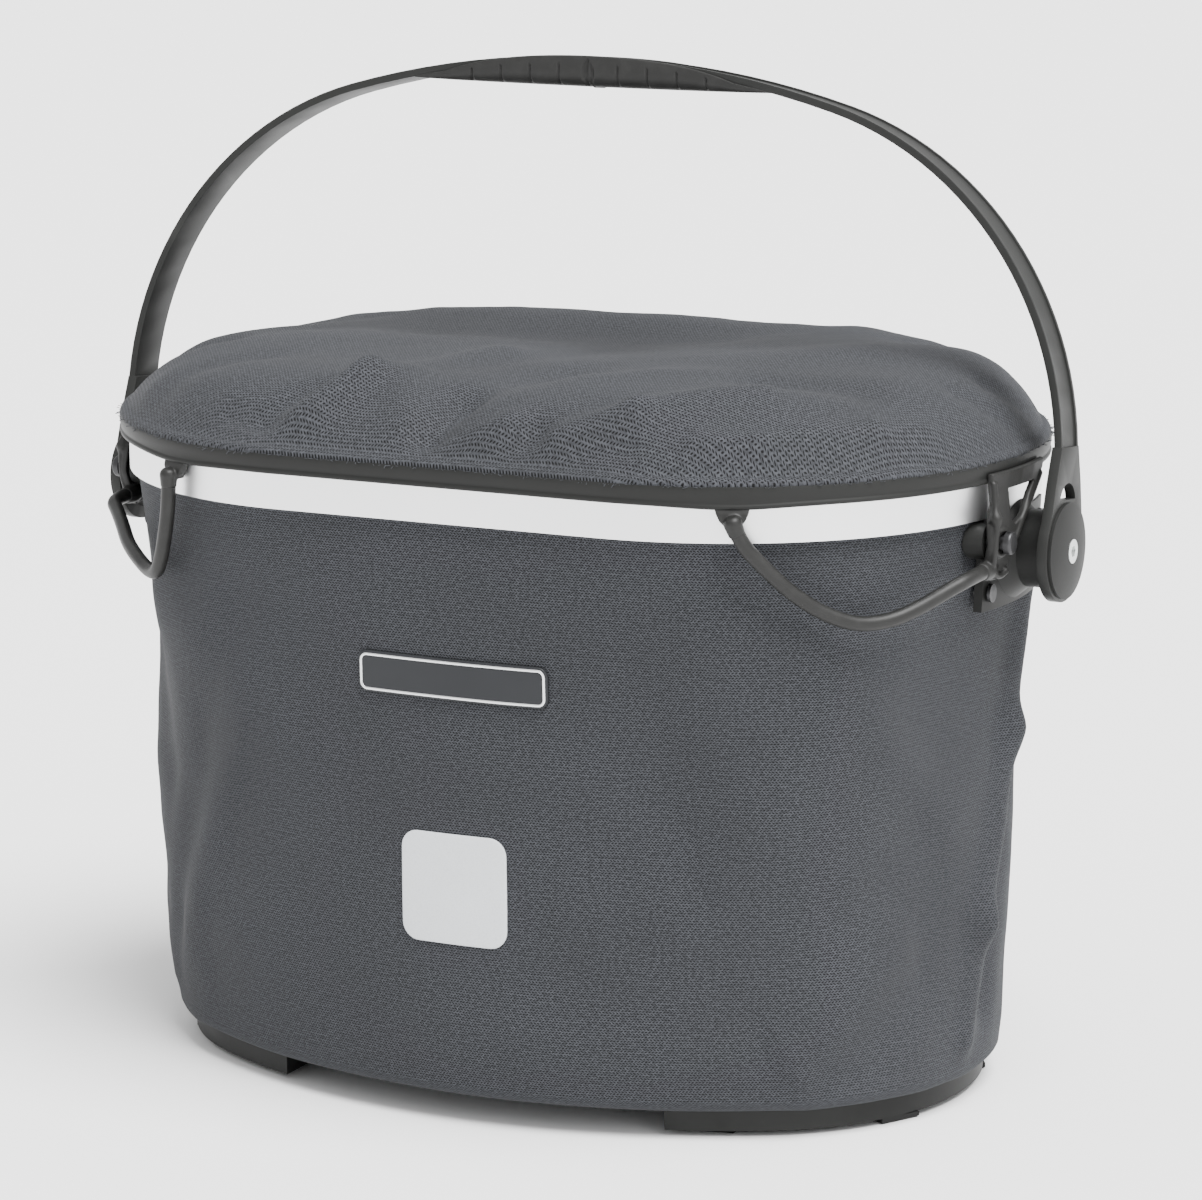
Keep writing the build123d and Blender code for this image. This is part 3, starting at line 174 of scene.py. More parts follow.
# ---- Finishes ------------------------------------------------------------------------------------
class Signal:
    """A shader socket: arithmetic on it adds Math nodes to its finish."""

    def __init__(self, finish, socket):
        self.finish = finish
        self.socket = socket

    def maths(self, operation, *values):
        return self.finish.node("ShaderNodeMath", {"operation": operation}, dict(enumerate(values)))

    def __add__(self, other):
        return self.maths("ADD", self, other)

    __radd__ = __add__

    def __sub__(self, other):
        return self.maths("SUBTRACT", self, other)

    def __rsub__(self, other):
        return self.maths("SUBTRACT", other, self)

    def __mul__(self, other):
        return self.maths("MULTIPLY", self, other)

    __rmul__ = __mul__

    def __truediv__(self, other):
        return self.maths("DIVIDE", self, other)

    def floor(self):
        return self.maths("FLOOR", self)

    def part(self):
        return self.maths("FRACT", self)

    def modulo(self, other):
        return self.maths("FLOORED_MODULO", self, other)

    def step(self, low, high):
        """0 below low, 1 above high, smooth between them; low may be the higher of the two."""
        values = {0: self, 1: low, 2: high, 3: 0.0, 4: 1.0}
        return self.finish.node("ShaderNodeMapRange", {"interpolation_type": "SMOOTHSTEP"}, values)


class Finish:
    """A material on one Principled shader, with a method that adds any other node."""

    def __init__(self, name, **constants):
        self.material = bpy.data.materials.new(name)
        self.material.use_nodes = True
        self.tree = self.material.node_tree
        self.shader = self.tree.nodes["Principled BSDF"]
        for socket, value in constants.items():
            self.shader.inputs[socket.replace("_", " ")].default_value = value

    def node(self, kind, chosen=None, values=None, output=0):
        """Adds a node: its settings first, then the values or links of its sockets."""
        made = self.tree.nodes.new(kind)
        for name, value in (chosen or {}).items():
            setattr(made, name, value)
        for key, value in (values or {}).items():
            if isinstance(value, Signal):
                self.tree.links.new(value.socket, made.inputs[key])
            else:
                made.inputs[key].default_value = value
        return Signal(self, made.outputs[output])

    def feed(self, socket, signal):
        self.tree.links.new(signal.socket, self.shader.inputs[socket])

    def place(self):
        """Object coordinates."""
        return self.node("ShaderNodeTexCoord", output=3)

    def noise(self, place, scale, detail=2.0, roughness=0.5):
        values = {"Vector": place, "Scale": scale, "Detail": detail, "Roughness": roughness}
        return self.node("ShaderNodeTexNoise", {"noise_dimensions": "3D"}, values)

    def stretched(self, place, scale):
        return self.node("ShaderNodeMapping", {}, {"Vector": place, "Scale": scale})

    def mix(self, share, dark, light):
        values = {0: share, 6: colour4(dark), 7: colour4(light)}
        return self.node("ShaderNodeMix", {"data_type": "RGBA"}, values, output=2)

    def bump(self, height, depth, strength=1.0):
        values = {"Height": height, "Distance": depth, "Strength": strength}
        self.feed("Normal", self.node("ShaderNodeBump", {}, values))


def colour4(colour):
    return colour if isinstance(colour, Signal) else (*colour[:3], 1.0)


def shade(colour, factor):
    """The colour made lighter or darker."""
    return tuple(channel * factor for channel in colour[:3])


def woven_cloth(name, colour, pitch):
    """Coarse coated weave: slanted yarns in staggered rows with dark gaps between them."""
    finish = Finish(name, Roughness=0.82, Specular_IOR_Level=0.18, Sheen_Weight=0.02, Sheen_Roughness=0.5)
    cloth_map = finish.node("ShaderNodeUVMap", {"uv_map": "Cloth"})
    u = finish.node("ShaderNodeSeparateXYZ", {}, {0: cloth_map}, output=0)
    v = Signal(finish, u.socket.node.outputs[1])
    columns = u / pitch
    rows = v / (0.74 * pitch)
    odd = rows.floor().modulo(2.0)                         # 1 on every other row
    across = rows.part() - 0.5
    slant = across * (odd * 2.0 - 1.0) * 0.75
    along = (columns + odd * 0.5 + slant).part() - 0.5
    reach = along * along * 1.2 + across * across * 0.9
    yarn = reach.step(0.020, 0.155)
    cell = finish.node("ShaderNodeCombineXYZ", {}, {0: columns + odd * 0.5, 1: rows, 2: 0.0})
    fibre = finish.noise(cell, 0.9, 1.5)
    place = finish.place()
    patch = finish.noise(place, 18.0, 3.0)
    level = yarn * (fibre.step(0.30, 0.70) * 0.50 + 0.48) * (patch * 0.5 + 0.75)
    finish.feed("Base Color", finish.mix(level, shade(colour, 0.04), shade(colour, 2.4)))
    finish.feed("Roughness", patch * 0.25 + 0.68)
    finish.bump(yarn + fibre * 0.5, 0.35 * MM, 0.55)
    return finish.material


def anodised(name, colour, roughness, metallic=1.0):
    """Rolled aluminium with fine lengthwise lines and a faint handling haze."""
    finish = Finish(name, Metallic=metallic)
    place = finish.place()
    lines = finish.noise(finish.stretched(place, (30.0, 30.0, 2600.0)), 1.0, 2.0)
    haze = finish.noise(place, 14.0, 3.0)
    finish.feed("Base Color", finish.mix(haze.step(0.3, 0.8), shade(colour, 0.93), colour))
    finish.feed("Roughness", haze * 0.16 + (roughness - 0.06) + lines * 0.06)
    finish.bump(lines, 0.03 * MM, 0.25)
    return finish.material


def moulded(name, colour, roughness, grain=1.0, painted_highlight_strength=0.35):
    """Moulded plastic: fine spark grain, slight flow marks and a painted highlight of paler patches on
    convex edges.
    """
    finish = Finish(name, Specular_IOR_Level=0.15)
    place = finish.place()
    flow = finish.noise(place, 22.0, 4.0, 0.6)
    pits = finish.noise(place, 2200.0, 2.0)
    edge = finish.node("ShaderNodeNewGeometry", output=7).step(0.53, 0.62)
    # Painted highlight: paler patches on the convex edges, standing in for gloss catching the light.
    painted_edge_highlight = edge * flow.step(0.35, 0.65) * painted_highlight_strength
    base = finish.mix(flow, shade(colour, 0.80), shade(colour, 1.20))
    finish.feed("Base Color", finish.mix(painted_edge_highlight, base, shade(colour, 2.6)))
    finish.feed("Roughness", flow * 0.20 + (roughness - 0.10) + pits * 0.06)
    finish.bump(pits * grain + flow * 0.6, 0.05 * MM, 0.6)
    return finish.material


def rubber(name, colour, roughness):
    """Soft moulded rubber: cloudy bloom on a satin skin."""
    finish = Finish(name, Specular_IOR_Level=0.25)
    place = finish.place()
    bloom = finish.noise(place, 160.0, 4.0, 0.65)
    skin = finish.noise(place, 1400.0, 2.0)
    cloud = bloom.step(0.42, 0.72)
    finish.feed("Base Color", finish.mix(cloud, shade(colour, 0.92), shade(colour, 1.25)))
    finish.feed("Roughness", bloom * 0.16 + (roughness - 0.08))
    finish.bump(skin + bloom * 0.8, 0.06 * MM, 0.7)
    return finish.material


def plated(name, colour, roughness):
    """Zinc-plated steel with a faint mottled spangle."""
    finish = Finish(name, Metallic=1.0)
    place = finish.place()
    spangle = finish.node("ShaderNodeTexVoronoi", {}, {"Vector": place, "Scale": 700.0}, output=0)
    haze = finish.noise(place, 260.0, 3.0)
    finish.feed("Base Color", finish.mix(haze, shade(colour, 0.75), colour))
    finish.feed("Roughness", spangle * 0.12 + haze * 0.15 + (roughness - 0.12))
    finish.bump(haze, 0.02 * MM, 0.4)
    return finish.material


def reflective_film(name, colour):
    """Glass-bead film: a pale grey skin with a very fine sparkle."""
    finish = Finish(name, Coat_Weight=0.15, Coat_Roughness=0.35)
    place = finish.place()
    beads = finish.node("ShaderNodeTexVoronoi", {}, {"Vector": place, "Scale": 1500.0}, output=0)
    haze = finish.noise(place, 45.0, 3.0)
    level = beads * 0.5 + haze * 0.5
    finish.feed("Base Color", finish.mix(level, shade(colour, 1.12), shade(colour, 0.86)))
    finish.feed("Roughness", beads * 0.25 + 0.40)
    finish.bump(beads, 0.05 * MM, 0.35)
    return finish.material


def stiff_board(name, colour):
    """Extruded board with a lengthwise grain."""
    finish = Finish(name, Roughness=0.6)
    place = finish.place()
    grain = finish.noise(finish.stretched(place, (60.0, 900.0, 900.0)), 1.0, 3.0)
    finish.feed("Base Color", finish.mix(grain, shade(colour, 0.8), shade(colour, 1.25)))
    finish.bump(grain, 0.05 * MM, 0.5)
    return finish.material


FINISHES = {}                                              # material for each finish's name


def make_finishes():
    trim = settings("trim")
    bag = settings("bag")
    FINISHES.update({
        "cloth": woven_cloth("coarse_cloth", bag.colour, bag.weave),
        "rim": anodised("silver_anodised", trim.metal, 0.34),
        "handle": moulded("handle_plastic", shade(trim.plastic, 1.25), 0.42),
        "trim": moulded("trim_plastic", trim.plastic, 0.44),
        "black": moulded("black_plastic", shade(trim.plastic, 0.72), 0.46),
        "cap": moulded("cap_plastic", shade(trim.plastic, 0.70), 0.50, painted_highlight_strength=0.2),
        "grip": rubber("grip_rubber", shade(trim.rubber, 1.15), 0.55),
        "latch": rubber("latch_rubber", trim.rubber, 0.50),
        "cord": rubber("cord_rubber", shade(trim.rubber, 1.05), 0.46),
        "foot": rubber("foot_rubber", shade(trim.rubber, 0.6), 0.70),
        "steel": plated("plated_steel", (0.72, 0.74, 0.73), 0.34),
        "stud": plated("blackened_steel", (0.06, 0.06, 0.062), 0.45),
        "board": stiff_board("stiff_board", (0.07, 0.07, 0.072)),
        "white": moulded("bearing_plastic", (0.70, 0.70, 0.68), 0.45, painted_highlight_strength=0.0),
        "plate": moulded("plate_black", (0.020, 0.021, 0.023), 0.40, grain=0.6, painted_highlight_strength=0.0),
        "border": anodised("plate_border", (0.80, 0.81, 0.82), 0.35),
        "film": reflective_film("reflective_film", trim.reflector),
    })


# Finish of each part that keeps the frame's shape; its name is without the side.
CAD_FINISHES = {
    "rim_band": "rim", "rim_liner": "black", "bottom_board": "board", "back_board": "board",
    "housing_rivets": "stud", "feet": "foot", "base_screws": "steel", "base_nuts": "steel",
    "coupling_plate": "black", "coupling_screws": "steel", "coupling_nuts": "steel",
    "pivot_housing": "black", "latch_stud": "stud", "pivot_bush": "white", "friction_washer": "white",
    "pivot_cap": "cap", "backing_washer": "steel", "pivot_nut": "steel", "pivot_bolt": "steel",
    "base_skid": "black",
}
MERGE_DISTANCE = 2e-6                                      # for the frame's loose triangles
FLAT_ANGLE, SHARP_ANGLE = radians(0.6), radians(38)


# ---- Outlines of the basket ----------------------------------------------------------------------
def fold(s):
    """Distance round the rim, folded into the front right quarter, with the signs of x and y."""
    s = np.mod(s, PERIMETER)
    quarter = PERIMETER / 4
    turn = np.floor(s / quarter).astype(int) % 4
    inner = np.where(turn == 0, s, np.where(turn == 1, 2 * quarter - s,
                     np.where(turn == 2, s - 2 * quarter, 4 * quarter - s)))
    side_x = np.where(turn < 2, 1.0, -1.0)
    side_y = np.where((turn == 0) | (turn == 3), 1.0, -1.0)
    return inner, side_x, side_y


def rim_outline(s, outset):
    """Points and outward normals on an offset of the rim's outline."""
    inner, side_x, side_y = fold(s)
    angle = np.maximum(inner - STRAIGHT, 0.0) / RADIUS
    across = np.sin(angle)
    ahead = -np.cos(angle)
    x = np.minimum(inner, STRAIGHT) + (RADIUS + outset) * across
    y = (RADIUS + outset) * ahead
    return np.stack([x * side_x, y * side_y], -1), np.stack([across * side_x, ahead * side_y], -1)


def base_outline(s, outset):
    """The same on the bag's bottom outline, matched quarter by quarter."""
    inner, side_x, side_y = fold(s)
    front = np.clip(inner / STRAIGHT, 0.0, 1.0) * BASE_TURN
    share = np.clip((inner - STRAIGHT) / (pi / 2 * RADIUS), 0.0, 1.0)
    angle = np.where(inner < STRAIGHT, front, BASE_TURN + share * (pi / 2 - BASE_TURN))
    across = np.sin(angle)
    ahead = -np.cos(angle)
    on_front = inner < STRAIGHT
    radius = np.where(on_front, BASE_SIDE, BASE_END) + outset
    x = np.where(on_front, 0.0, BASE_END_X) + radius * across
    y = np.where(on_front, BASE_SIDE - BASE_HALF_DEPTH, 0.0) + radius * ahead
    return np.stack([x * side_x, y * side_y], -1), np.stack([across * side_x, ahead * side_y], -1)


def ridge(x, y, start, end, width):
    """1 along a line between two points, falling smoothly to 0 around it."""
    ax, ay = start
    bx, by = end
    length = hypot(bx - ax, by - ay)
    ux, uy = (bx - ax) / length, (by - ay) / length
    along = np.clip((x - ax) * ux + (y - ay) * uy, 0.0, length)
    gap = np.hypot(x - ax - along * ux, y - ay - along * uy)
    return np.exp(-(gap / width) ** 2)


def soft_noise(x, y, scale, seed):
    """Smooth noise from -1 to 1 over two coordinates."""
    flat_x, flat_y = np.ravel(x) / scale, np.ravel(y) / scale
    values = [noise.noise(Vector((a, b, seed))) for a, b in zip(flat_x, flat_y)]
    return np.array(values).reshape(np.shape(x))


# Soft folds of the bag wall: start, end, width and height, as distance round the rim and
# height above the ground.  Positive stands out.
BAG_FOLDS = [
    ((-0.060, 0.060), (0.040, 0.190), 0.018, 0.60), ((-0.020, 0.040), (0.075, 0.150), 0.016, -0.55),
    ((0.030, 0.120), (0.110, 0.205), 0.020, 0.60), ((0.095, 0.030), (0.180, 0.070), 0.012, 0.65),
    ((0.080, 0.050), (0.170, 0.100), 0.013, -0.55), ((0.060, 0.085), (0.150, 0.160), 0.016, 0.55),
    ((-0.130, 0.060), (-0.085, 0.200), 0.014, -0.60), ((-0.105, 0.050), (-0.060, 0.180), 0.014, 0.55),
    ((0.140, 0.200), (0.215, 0.120), 0.013, 0.60), ((-0.180, 0.050), (-0.150, 0.030), 0.014, 0.7),
    ((0.293, 0.213), (0.268, 0.150), 0.010, 1.3), ((0.268, 0.150), (0.243, 0.075), 0.009, 1.5),
    ((0.243, 0.075), (0.232, 0.030), 0.010, 1.2), ((0.318, 0.200), (0.300, 0.120), 0.012, -1.0),
    ((0.285, 0.120), (0.262, 0.040), 0.012, -1.1), ((0.215, 0.190), (0.190, 0.090), 0.026, -0.9),
    ((0.160, 0.215), (0.110, 0.130), 0.030, 0.7), ((-0.150, 0.190), (-0.060, 0.160), 0.020, 0.9),
    ((-0.200, 0.200), (-0.150, 0.120), 0.018, -0.9), ((-0.170, 0.120), (-0.120, 0.050), 0.030, 0.7),
    ((0.120, 0.060), (0.020, 0.040), 0.030, 0.8), ((0.190, 0.060), (0.120, 0.024), 0.016, -0.6),
    ((0.420, 0.200), (0.470, 0.090), 0.022, 1.0), ((-0.300, 0.190), (-0.330, 0.080), 0.018, 1.1),
    ((-0.270, 0.150), (-0.285, 0.060), 0.014, -1.0), ((0.370, 0.120), (0.360, 0.040), 0.018, -0.9),
]
WAIST_Z, WAIST_SPREAD = 0.180, 0.050                       # height where the ends draw in
BELLY, BELLY_Z, BELLY_SPREAD = 1.2 * MM, 0.070, 0.050      # how the long sides stand out
PATCH_X = 4.5 * MM                                         # middle of the plate and the reflector
# Cloth kept calm behind the plate and the reflector: height, half width and half height.
CALM_ZONES = ((0.178, 0.055, 0.020), (0.095, 0.032, 0.032))


def round_the_rim(count):
    """Even distances round the rim, from the middle of the back."""
    return BACK_TURN + np.arange(count) * PERIMETER / count


def from_the_front(s):
    """The same distances, counted from the middle of the front to either side."""
    return np.mod(s + BACK_TURN, PERIMETER) - BACK_TURN


def wall_bulge(s, z):
    """How far the cloth stands out from a straight wall."""
    bag = settings("bag")
    around = from_the_front(s)
    share = np.clip((BAND_Z - z) / (BAND_Z - BAG_FLOOR), 0.0, 1.0)
    _, normal = rim_outline(s, 0.0)
    ends = normal[..., 0] ** 2
    left = np.where(normal[..., 0] < 0, 1.0, 0.5)
    bulge = -bag.waist * left * ends * np.exp(-((z - WAIST_Z) / WAIST_SPREAD) ** 2)
    bulge += BELLY * (1 - ends) * np.exp(-((z - BELLY_Z) / BELLY_SPREAD) ** 2)
    folds = 0.0
    for start, end, width, height in BAG_FOLDS:
        folds = folds + height * ridge(around, z, start, end, width)
    folds += 0.50 * soft_noise(around, 0.55 * z, 0.055, 3.0) + 0.16 * soft_noise(around, z, 0.020, 8.0)
    calm = np.clip(share / 0.14, 0.0, 1.0) * np.clip((1 - share) / 0.06, 0.25, 1.0)
    for centre, half_x, half_z in CALM_ZONES:
        spread = np.maximum(np.abs(around - PATCH_X) / half_x, np.abs(z - centre) / half_z)
        calm = calm * (0.25 + 0.75 * np.clip((spread - 0.9) / 0.8, 0.0, 1.0))
    return bulge + bag.crease * folds * calm


def wall_point(s, z, outset=0.0):
    """Points on the bag's outer cloth, moved out by outset."""
    s, z = np.broadcast_arrays(np.asarray(s, float), np.asarray(z, float))
    top, top_normal = rim_outline(s, -CLOTH_SET)
    low, low_normal = base_outline(s, 0.0)
    fall = np.clip((BAND_Z - z) / (BAND_Z - BAG_FLOOR), 0.0, 1.0)[..., None]
    point = top + (low - top) * fall
    normal = top_normal + (low_normal - top_normal) * fall
    normal = normal / np.linalg.norm(normal, axis=-1, keepdims=True)
    point = point + normal * (wall_bulge(s, z) + outset)[..., None]
    return np.concatenate([point + (0.0, MID_Y), z[..., None]], -1)


# ---- Mesh helpers --------------------------------------------------------------------------------
def linked(name, data):
    """A new object in the scene that holds the data."""
    made = bpy.data.objects.new(name, data)
    bpy.context.scene.collection.objects.link(made)
    return made


def evaluated_mesh(holder):
    """A plain mesh of the object as its curve or modifiers shape it."""
    bpy.context.view_layer.update()
    graph = bpy.context.evaluated_depsgraph_get()
    return bpy.data.meshes.new_from_object(holder.evaluated_get(graph))


def mesh_object(name, points, faces, finish):
    """A smooth piece from points and faces."""
    mesh = bpy.data.meshes.new(name)
    mesh.from_pydata([tuple(p) for p in points], [], faces)
    mesh.validate()
    mesh.shade_smooth()
    mesh.materials.append(FINISHES[finish])
    return linked(name, mesh)


def ring_faces(rows, columns, closed_rows=False):
    """Quads between rings of points; the columns close on themselves."""
    faces = []
    for row in range(rows if closed_rows else rows - 1):
        above = (row + 1) % rows
        for column in range(columns):
            beside = (column + 1) % columns
            faces.append((row * columns + column, row * columns + beside,
                          above * columns + beside, above * columns + column))
    return faces


def face_outwards(piece):
    """Merges the piece's doubles and turns its faces outwards."""
    work = bmesh.new()
    work.from_mesh(piece.data)
    bmesh.ops.remove_doubles(work, verts=work.verts, dist=1e-6)
    bmesh.ops.recalc_face_normals(work, faces=work.faces)
    work.to_mesh(piece.data)
    work.free()
    return piece


def modified(piece, kind, **chosen):
    """Adds a modifier with its settings."""
    modifier = piece.modifiers.new(kind.title(), kind)
    for name, value in chosen.items():
        setattr(modifier, name, value)
    return modifier


def applied(piece):
    """The piece with its modifiers made part of its mesh."""
    mesh = evaluated_mesh(piece)
    materials = list(piece.data.materials)
    plain = linked(piece.name + "_made", mesh)
    name = piece.name
    bpy.data.objects.remove(piece)
    plain.name = name
    if not mesh.materials:
        for material in materials:
            mesh.materials.append(material)
    return plain


def finished(piece, body, slot, *nodes, angle=None):
    """Puts a piece on its body and hides the CAD nodes it stands for; the slot is not used."""
    if angle is not None:
        piece.data.shade_smooth()
        piece.data.set_sharp_from_angle(angle=radians(angle))
    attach(piece, body)
    if nodes:
        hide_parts(*nodes)
    return piece


def copy_of_node(name, node, finish, bevel):
    """A softened copy of a CAD node: merged, and with its sharp edges rounded."""
    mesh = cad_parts[node].data.copy()
    piece = linked(name, mesh)
    work = bmesh.new()
    work.from_mesh(mesh)
    bmesh.ops.remove_doubles(work, verts=work.verts, dist=MERGE_DISTANCE)
    bmesh.ops.dissolve_limit(work, angle_limit=FLAT_ANGLE, verts=work.verts, edges=work.edges)
    work.to_mesh(mesh)
    work.free()
    mesh.materials.clear()
    mesh.materials.append(FINISHES[finish])
    mesh.shade_smooth()
    modified(piece, "BEVEL", width=bevel, segments=3, limit_method="ANGLE", angle_limit=SHARP_ANGLE,
             harden_normals=True, miter_outer="MITER_ARC")
    piece = applied(piece)
    work = bmesh.new()
    work.from_mesh(piece.data)
    bmesh.ops.triangulate(work, faces=[face for face in work.faces if len(face.verts) > 4])
    work.to_mesh(piece.data)
    work.free()
    return piece


def curve_line(points):
    """A smooth open NURBS line through a cord's route, and its points."""
    curve = bpy.data.curves.new("route", "CURVE")
    curve.dimensions = "3D"
    curve.resolution_u = 16
    spline = curve.splines.new("NURBS")
    spline.points.add(len(points) - 1)
    for target, point in zip(spline.points, points):
        target.co = (*point, 1.0)
    spline.order_u = 3
    spline.use_endpoint_u = True
    holder = linked("route", curve)
    mesh = evaluated_mesh(holder)
    line = [vertex.co.copy() for vertex in mesh.vertices]
    bpy.data.objects.remove(holder)
    bpy.data.meshes.remove(mesh)
    return line


def tube(name, line, radii, finish, sides=24):
    """A closed tube along a line of points, with a radius for each point."""
    line = [Vector(p) for p in line]
    count = len(line)
    tangents = [(line[min(i + 1, count - 1)] - line[max(i - 1, 0)]).normalized() for i in range(count)]
    side = tangents[0].orthogonal().normalized()
    points = []
    for place, tangent, radius in zip(line, tangents, radii):
        side = (side - tangent * side.dot(tangent)).normalized()
        other = tangent.cross(side)
        for step in range(sides):
            angle = 2 * pi * step / sides
            points.append(place + (side * cos(angle) + other * sin(angle)) * radius)
    faces = ring_faces(count, sides)
    for row, tangent, turn in ((0, -tangents[0], 1), (count - 1, tangents[-1], -1)):
        points.append(line[row] + tangent * radii[row] * 0.25)
        centre = len(points) - 1
        ring = [row * sides + step for step in range(sides)]
        faces += [(centre, *(ring[step], ring[(step + 1) % sides])[::-turn]) for step in range(sides)]
    return face_outwards(mesh_object(name, points, faces, finish))


def melted(name, pieces, voxel, finish, smooth_steps):
    """Joins overlapping pieces into one soft moulded skin."""
    points, faces = [], []
    for piece in pieces:
        matrix = piece.matrix_world
        start = len(points)
        points += [matrix @ vertex.co for vertex in piece.data.vertices]
        faces += [tuple(start + index for index in polygon.vertices) for polygon in piece.data.polygons]
        bpy.data.objects.remove(piece)
    whole = mesh_object(name, points, faces, finish)
    modified(whole, "REMESH", mode="VOXEL", voxel_size=voxel, use_smooth_shade=True)
    modified(whole, "SMOOTH", factor=0.5, iterations=smooth_steps)
    return applied(whole)


# ---- Bag -----------------------------------------------------------------------------------------
def ring_lengths(ring):
    """Distance along a closed ring to each of its points, from the middle of the front."""
    steps = np.linalg.norm(np.roll(ring, -1, axis=0) - ring, axis=1)
    along = np.concatenate([[0.0], np.cumsum(steps)])
    return along - along[len(ring) // 2]


WALL_ROWS = 92                                             # rows of faces below the rim band
HEM_STEPS = 5
BOTTOM_SHARES = (0.02, 0.035, 0.08, 0.2, 0.4, 0.6, 0.8, 0.93)    # rings from the hem to the middle
BOTTOM_LIP = 0.035                                         # share where the sagging hem ends
BOTTOM_LIFT = 0.15 * MM
HEM_SAG = 0.9 * MM
HEM_ROW = 1.3 * MM                                         # cloth used by one row of the hem


class BASKET_OT_bag(bpy.types.Operator):
    """Fabric bag: a creased wall, a rounded hem and a flat bottom"""
    bl_idname = "basket.bag"
    bl_label = "Bag"

    def execute(self, context):
        bag = settings("bag")
        count = bag.around
        s = round_the_rim(count)
        hem = bag.hem_radius
        top = BAG_HIGH.z - 0.3 * MM
        heights = np.concatenate([
            np.linspace(top, BAND_Z + 1 * MM, 5),
            np.linspace(BAND_Z - 1 * MM, BAG_FLOOR + hem, WALL_ROWS)])
        rings = [wall_point(s, np.full(count, z)) for z in heights]
        drop = HEM_SAG * (soft_noise(s, s * 0, 0.045, 5.0) + 0.4)
        edge = rings[-1]
        _, normal = base_outline(s, 0.0)
        inward = np.concatenate([-normal, np.zeros((count, 1))], -1)
        for step in range(1, HEM_STEPS + 1):
            angle = radians(90) * step / HEM_STEPS
            ring = edge + inward * hem * (1 - cos(angle))
            ring[:, 2] = BAG_FLOOR + hem * (1 - sin(angle)) - drop * sin(angle)
            rings.append(ring)
        lip = rings[-1].copy()
        middle = np.array([0.0, MID_Y, BAG_FLOOR])
        for share in BOTTOM_SHARES:
            ring = lip + (middle - lip) * share
            rise = min(share / BOTTOM_LIP, 1.0)
            ring[:, 2] = lip[:, 2] * (1 - rise) + (BAG_FLOOR + BOTTOM_LIFT) * rise
            rings.append(ring)
        points = np.concatenate(rings)
        faces = [face[::-1] for face in ring_faces(len(rings), count)]
        last = (len(rings) - 1) * count
        points = np.concatenate([points, [middle + (0, 0, BOTTOM_LIFT)]])
        faces += [(last + i, last + (i + 1) % count, len(points) - 1)[::-1] for i in range(count)]
        piece = mesh_object("bag_cloth", points, faces, "cloth")
        self.map_cloth(piece, [ring_lengths(ring) for ring in rings], count, len(heights))
        modified(piece, "SOLIDIFY", thickness=bag.wall, offset=-1.0, use_rim=True)
        finished(piece, "basket", "bag_fabric", "bag_shell")
        return {"FINISHED"}

    def map_cloth(self, piece, lengths, count, wall_rows):
        """Cloth coordinates in metres: round the wall and up it, and straight across the bottom."""
        layer = piece.data.uv_layers.new(name="Cloth")
        for polygon in piece.data.polygons:
            columns = [index % count for index in polygon.vertices]
            wraps = max(columns) - min(columns) > count // 2
            for loop, index, column in zip(polygon.loop_indices, polygon.vertices, columns):
                x, y, z = piece.data.vertices[index].co
                if min(polygon.vertices) // count < wall_rows + HEM_STEPS - 1:
                    column = column + count if wraps and column < count // 2 else column
                    row = min(index // count, wall_rows + HEM_STEPS)
                    low = max(0, row - wall_rows + 1) * HEM_ROW
                    layer.data[loop].uv = (lengths[row][column], z - low)
                else:
                    layer.data[loop].uv = (x, y)


# ---- Lid -----------------------------------------------------------------------------------------
# Lumps of the lid's cloth: start, end, width and height.  The first three are in metres, with X
# and Y from the rim's middle; a height of 1 is the lid's setting in millimetres, upwards.
LID_LUMPS = [
    ((-0.063, -0.117), (-0.044, -0.092), 0.0075, 2.6), ((-0.044, -0.092), (-0.020, -0.029), 0.012, 1.7),
    ((-0.078, -0.113), (-0.058, -0.098), 0.0060, -1.5), ((-0.006, -0.117), (0.000, -0.096), 0.0080, -2.9),
    ((0.000, -0.096), (0.022, -0.055), 0.014, -1.5), ((0.016, -0.119), (0.026, -0.112), 0.0055, 1.4),
    ((0.032, -0.121), (0.040, -0.114), 0.0050, -1.7), ((0.048, -0.116), (0.077, -0.103), 0.0055, 1.6),
    ((0.077, -0.103), (0.115, -0.076), 0.0085, 1.5), ((0.060, -0.121), (0.078, -0.117), 0.0045, -1.3),
    ((0.103, -0.052), (0.145, -0.050), 0.0110, -1.7), ((0.104, -0.109), (0.128, -0.101), 0.0045, 1.1),
    ((0.128, -0.101), (0.160, -0.068), 0.0055, 1.0), ((0.160, -0.068), (0.174, -0.050), 0.0060, 1.0),
    ((0.128, -0.108), (0.152, -0.090), 0.0040, -0.8), ((0.172, 0.008), (0.187, 0.030), 0.0060, -0.9),
    ((0.170, -0.016), (0.186, -0.004), 0.0050, -0.8), ((-0.150, -0.080), (-0.105, -0.102), 0.010, 0.7),
    ((-0.096, -0.113), (-0.062, -0.121), 0.0045, -1.2), ((-0.100, 0.070), (0.085, 0.078), 0.015, 0.9),
    ((-0.070, 0.020), (0.040, 0.040), 0.022, -1.3), ((-0.120, -0.030), (-0.060, 0.010), 0.024, 0.9),
    ((-0.030, -0.060), (0.010, 0.000), 0.020, -1.2), ((0.070, -0.020), (0.120, 0.010), 0.022, 1.3),
    ((-0.170, 0.020), (-0.130, 0.050), 0.016, -0.9), ((0.040, -0.070), (0.080, -0.050), 0.012, 0.8),
    ((-0.050, 0.114), (-0.020, 0.090), 0.010, -1.1), ((0.060, 0.115), (0.075, 0.088), 0.010, -1.0),
    ((0.150, -0.020), (0.158, 0.045), 0.022, 0.3), ((0.140, 0.075), (0.120, 0.060), 0.011, -0.8),
    ((-0.150, 0.075), (-0.125, 0.060), 0.011, 0.7), ((-0.178, -0.030), (-0.150, -0.020), 0.008, -0.8),
    ((-0.140, -0.094), (-0.110, -0.060), 0.010, -0.9), ((-0.020, -0.112), (-0.030, -0.085), 0.008, 1.0),
]
